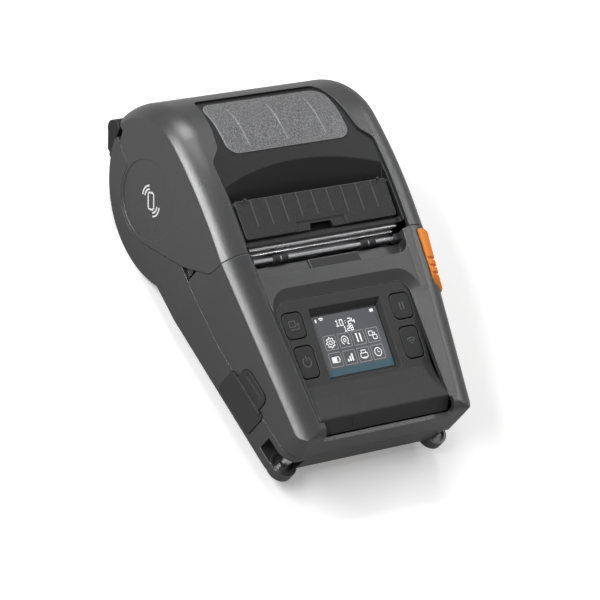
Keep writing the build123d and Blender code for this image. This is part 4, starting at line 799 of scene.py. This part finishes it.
# %% Display layout
COLUMNS = (-12.1, -4.0, 4.1, 12.2)
ROWS = (1.3, -6.6)
BOX_W, BOX_H = 6.7, 6.4
frames = [("loop", 0.22, rounded_box(x, y, BOX_W, BOX_H, 0.3)) for y in ROWS for x in COLUMNS]
top, low = ROWS
signs = gear_sign(COLUMNS[0], top, 2.4) + roll_sign(COLUMNS[1], top) + tools_sign(COLUMNS[2], top)
signs += linked_sign(COLUMNS[3], top) + battery_sign(COLUMNS[0], low) + bars_sign(COLUMNS[1], low)
signs += printer_sign(COLUMNS[2], low) + clock_sign(COLUMNS[3], low)
signs += write_digits("10:24", -0.6, 9.3, 2.6, 0.42) + write_digits("128", 0.2, 6.2, 2.1, 0.38)
signs += [("line", 0.45, arc(-13.4, 11.2, radius, 45, 135, 6)) for radius in (0.9, 1.7)]
signs += [("line", 0.9, [(-16.6, 11.2), (-16.6, 12.6)]), ("line", 1.3, [(14.6, 12.3), (16.6, 12.3)])]
over_sheet = bezel_spot(0, PICTURE_SHIFT, PICTURE_DEPTH + PICTURE_THICK)
make_sign("screen_signs", over_sheet, signs, screen_white, "base", PICTURE_THICK)
make_sign("screen_frames", over_sheet, frames, screen_pale, "base", PICTURE_THICK)

# %% [markdown]
# The keys carry faint moulded signs: feed, power, pause and a plain radio sign. Each sign rides
# on its own key, so it goes down with it.

# %% Key signs
KEY_OUT = 0.1
feed_strokes = [("loop", 0.4, rounded_box(-0.9, 0.9, 3.4, 2.6, 0.3)),
                ("line", 0.4, [(-2.4, -1.7), (2.2, -1.7), (2.2, 0.9)]),
                ("line", 0.4, [(1.4, 0.1), (2.2, 1.0), (3.0, 0.1)])]
power_strokes = [("line", 0.5, arc(0, 0, 2.2, 120, 420)), ("line", 0.5, [(0, 0.6), (0, 2.9)])]
pause_strokes = [("line", 0.7, [(-0.9, -1.8), (-0.9, 1.8)]), ("line", 0.7, [(0.9, -1.8), (0.9, 1.8)])]
pair_strokes = [("line", 0.45, arc(0, -1.6, r, 50, 130, 8)) for r in (1.2, 2.4, 3.6)]
for name, x, y, strokes, body in (
        ("feed_sign", -30.9, 10.3, feed_strokes, "feed_button"),
        ("power_sign", -30.2, -6.6, power_strokes, "power_button"),
        ("pause_sign", 30.9, 10.3, pause_strokes, "pause_button"),
        ("pair_sign", 30.2, -6.6, pair_strokes, "pair_button")):
    make_sign(name, bezel_spot(x, y, KEY_OUT), strokes, grey_ink, body)

# %% [markdown]
# A short slot runs down the front face of the bezel, left of the middle. It is drawn as a thin
# black line, on a plane through the face's upper edge and its foot, each given as (y, z).

# %% Slot of the bezel
LINE_THICK = 0.02
SLOT_X, SLOT_LOW, SLOT_HIGH, SLOT_W = -18.5, -5.8, -1.2, 0.5
line_ink = ink_material("line_ink", (0.004, 0.004, 0.004), (0.006, 0.006, 0.006))
FRONT_EDGE, FRONT_FOOT = (-77.2, 39.7), (-82.1, 34.0)
along = Vector((FRONT_FOOT[0] - FRONT_EDGE[0], FRONT_FOOT[1] - FRONT_EDGE[1])).normalized()
front_face = surface_plane((0, *FRONT_EDGE), (1, 0, 0), (0, -along.x, -along.y))
slot_strokes = [("line", SLOT_W, [(SLOT_X, SLOT_LOW), (SLOT_X, SLOT_HIGH)])]
make_sign("bezel_slot", front_face, slot_strokes, line_ink, "base", LINE_THICK)

# %% [markdown]
# The small plate in front of the exit is bare. A thin light line runs round it, just inside
# its edge.

# %% Plate frame
low_corner, high_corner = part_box("name_plate")
plate_mid = [(a + b) / 2 / MM for a, b in zip(low_corner, high_corner)]
plate_w = (high_corner[0] - low_corner[0]) / MM
plate_l = (high_corner[1] - low_corner[1]) / MM
plate_top = surface_plane((plate_mid[0], plate_mid[1], high_corner[2] / MM), (1, 0, 0), (0, 1, 0))
EDGE_INSET, EDGE_LINE_W, EDGE_CORNER = 0.25, 0.22, 0.2
edge_points = rounded_box(0, 0, plate_w - 2 * EDGE_INSET, plate_l - 2 * EDGE_INSET, EDGE_CORNER)
make_sign("plate_edge", plate_top, [("loop", EDGE_LINE_W, edge_points)], plate_line_colour, "base", LINE_THICK)

# %% [markdown]
# The floor looks white, with a little glow to lift it, by the same share as the world. To the
# light that reaches the printer's sides from below it is a mid grey, as nothing pale lies there
# in the photo.

# %% Floor finish
FLOOR_GREY, FLOOR_WHITE, FLOOR_GLOW = 0.3, 0.92, 0.22
floor_material, floor_tree, floor_shader = new_material("floor_paper")
floor_shader.inputs["Roughness"].default_value = 0.8
floor_shader.inputs["Emission Color"].default_value = WHITE
seen = background_share(floor_tree)
glow = math_node(floor_tree, "MULTIPLY", seen, FLOOR_GLOW)
floor_tree.links.new(glow, floor_shader.inputs["Emission Strength"])
paler = math_node(floor_tree, "MULTIPLY", seen, FLOOR_WHITE - FLOOR_GREY)
floor_tree.links.new(math_node(floor_tree, "ADD", paler, FLOOR_GREY), floor_shader.inputs["Base Color"])
floor_mesh.materials.append(floor_material)
print("floor finish made")
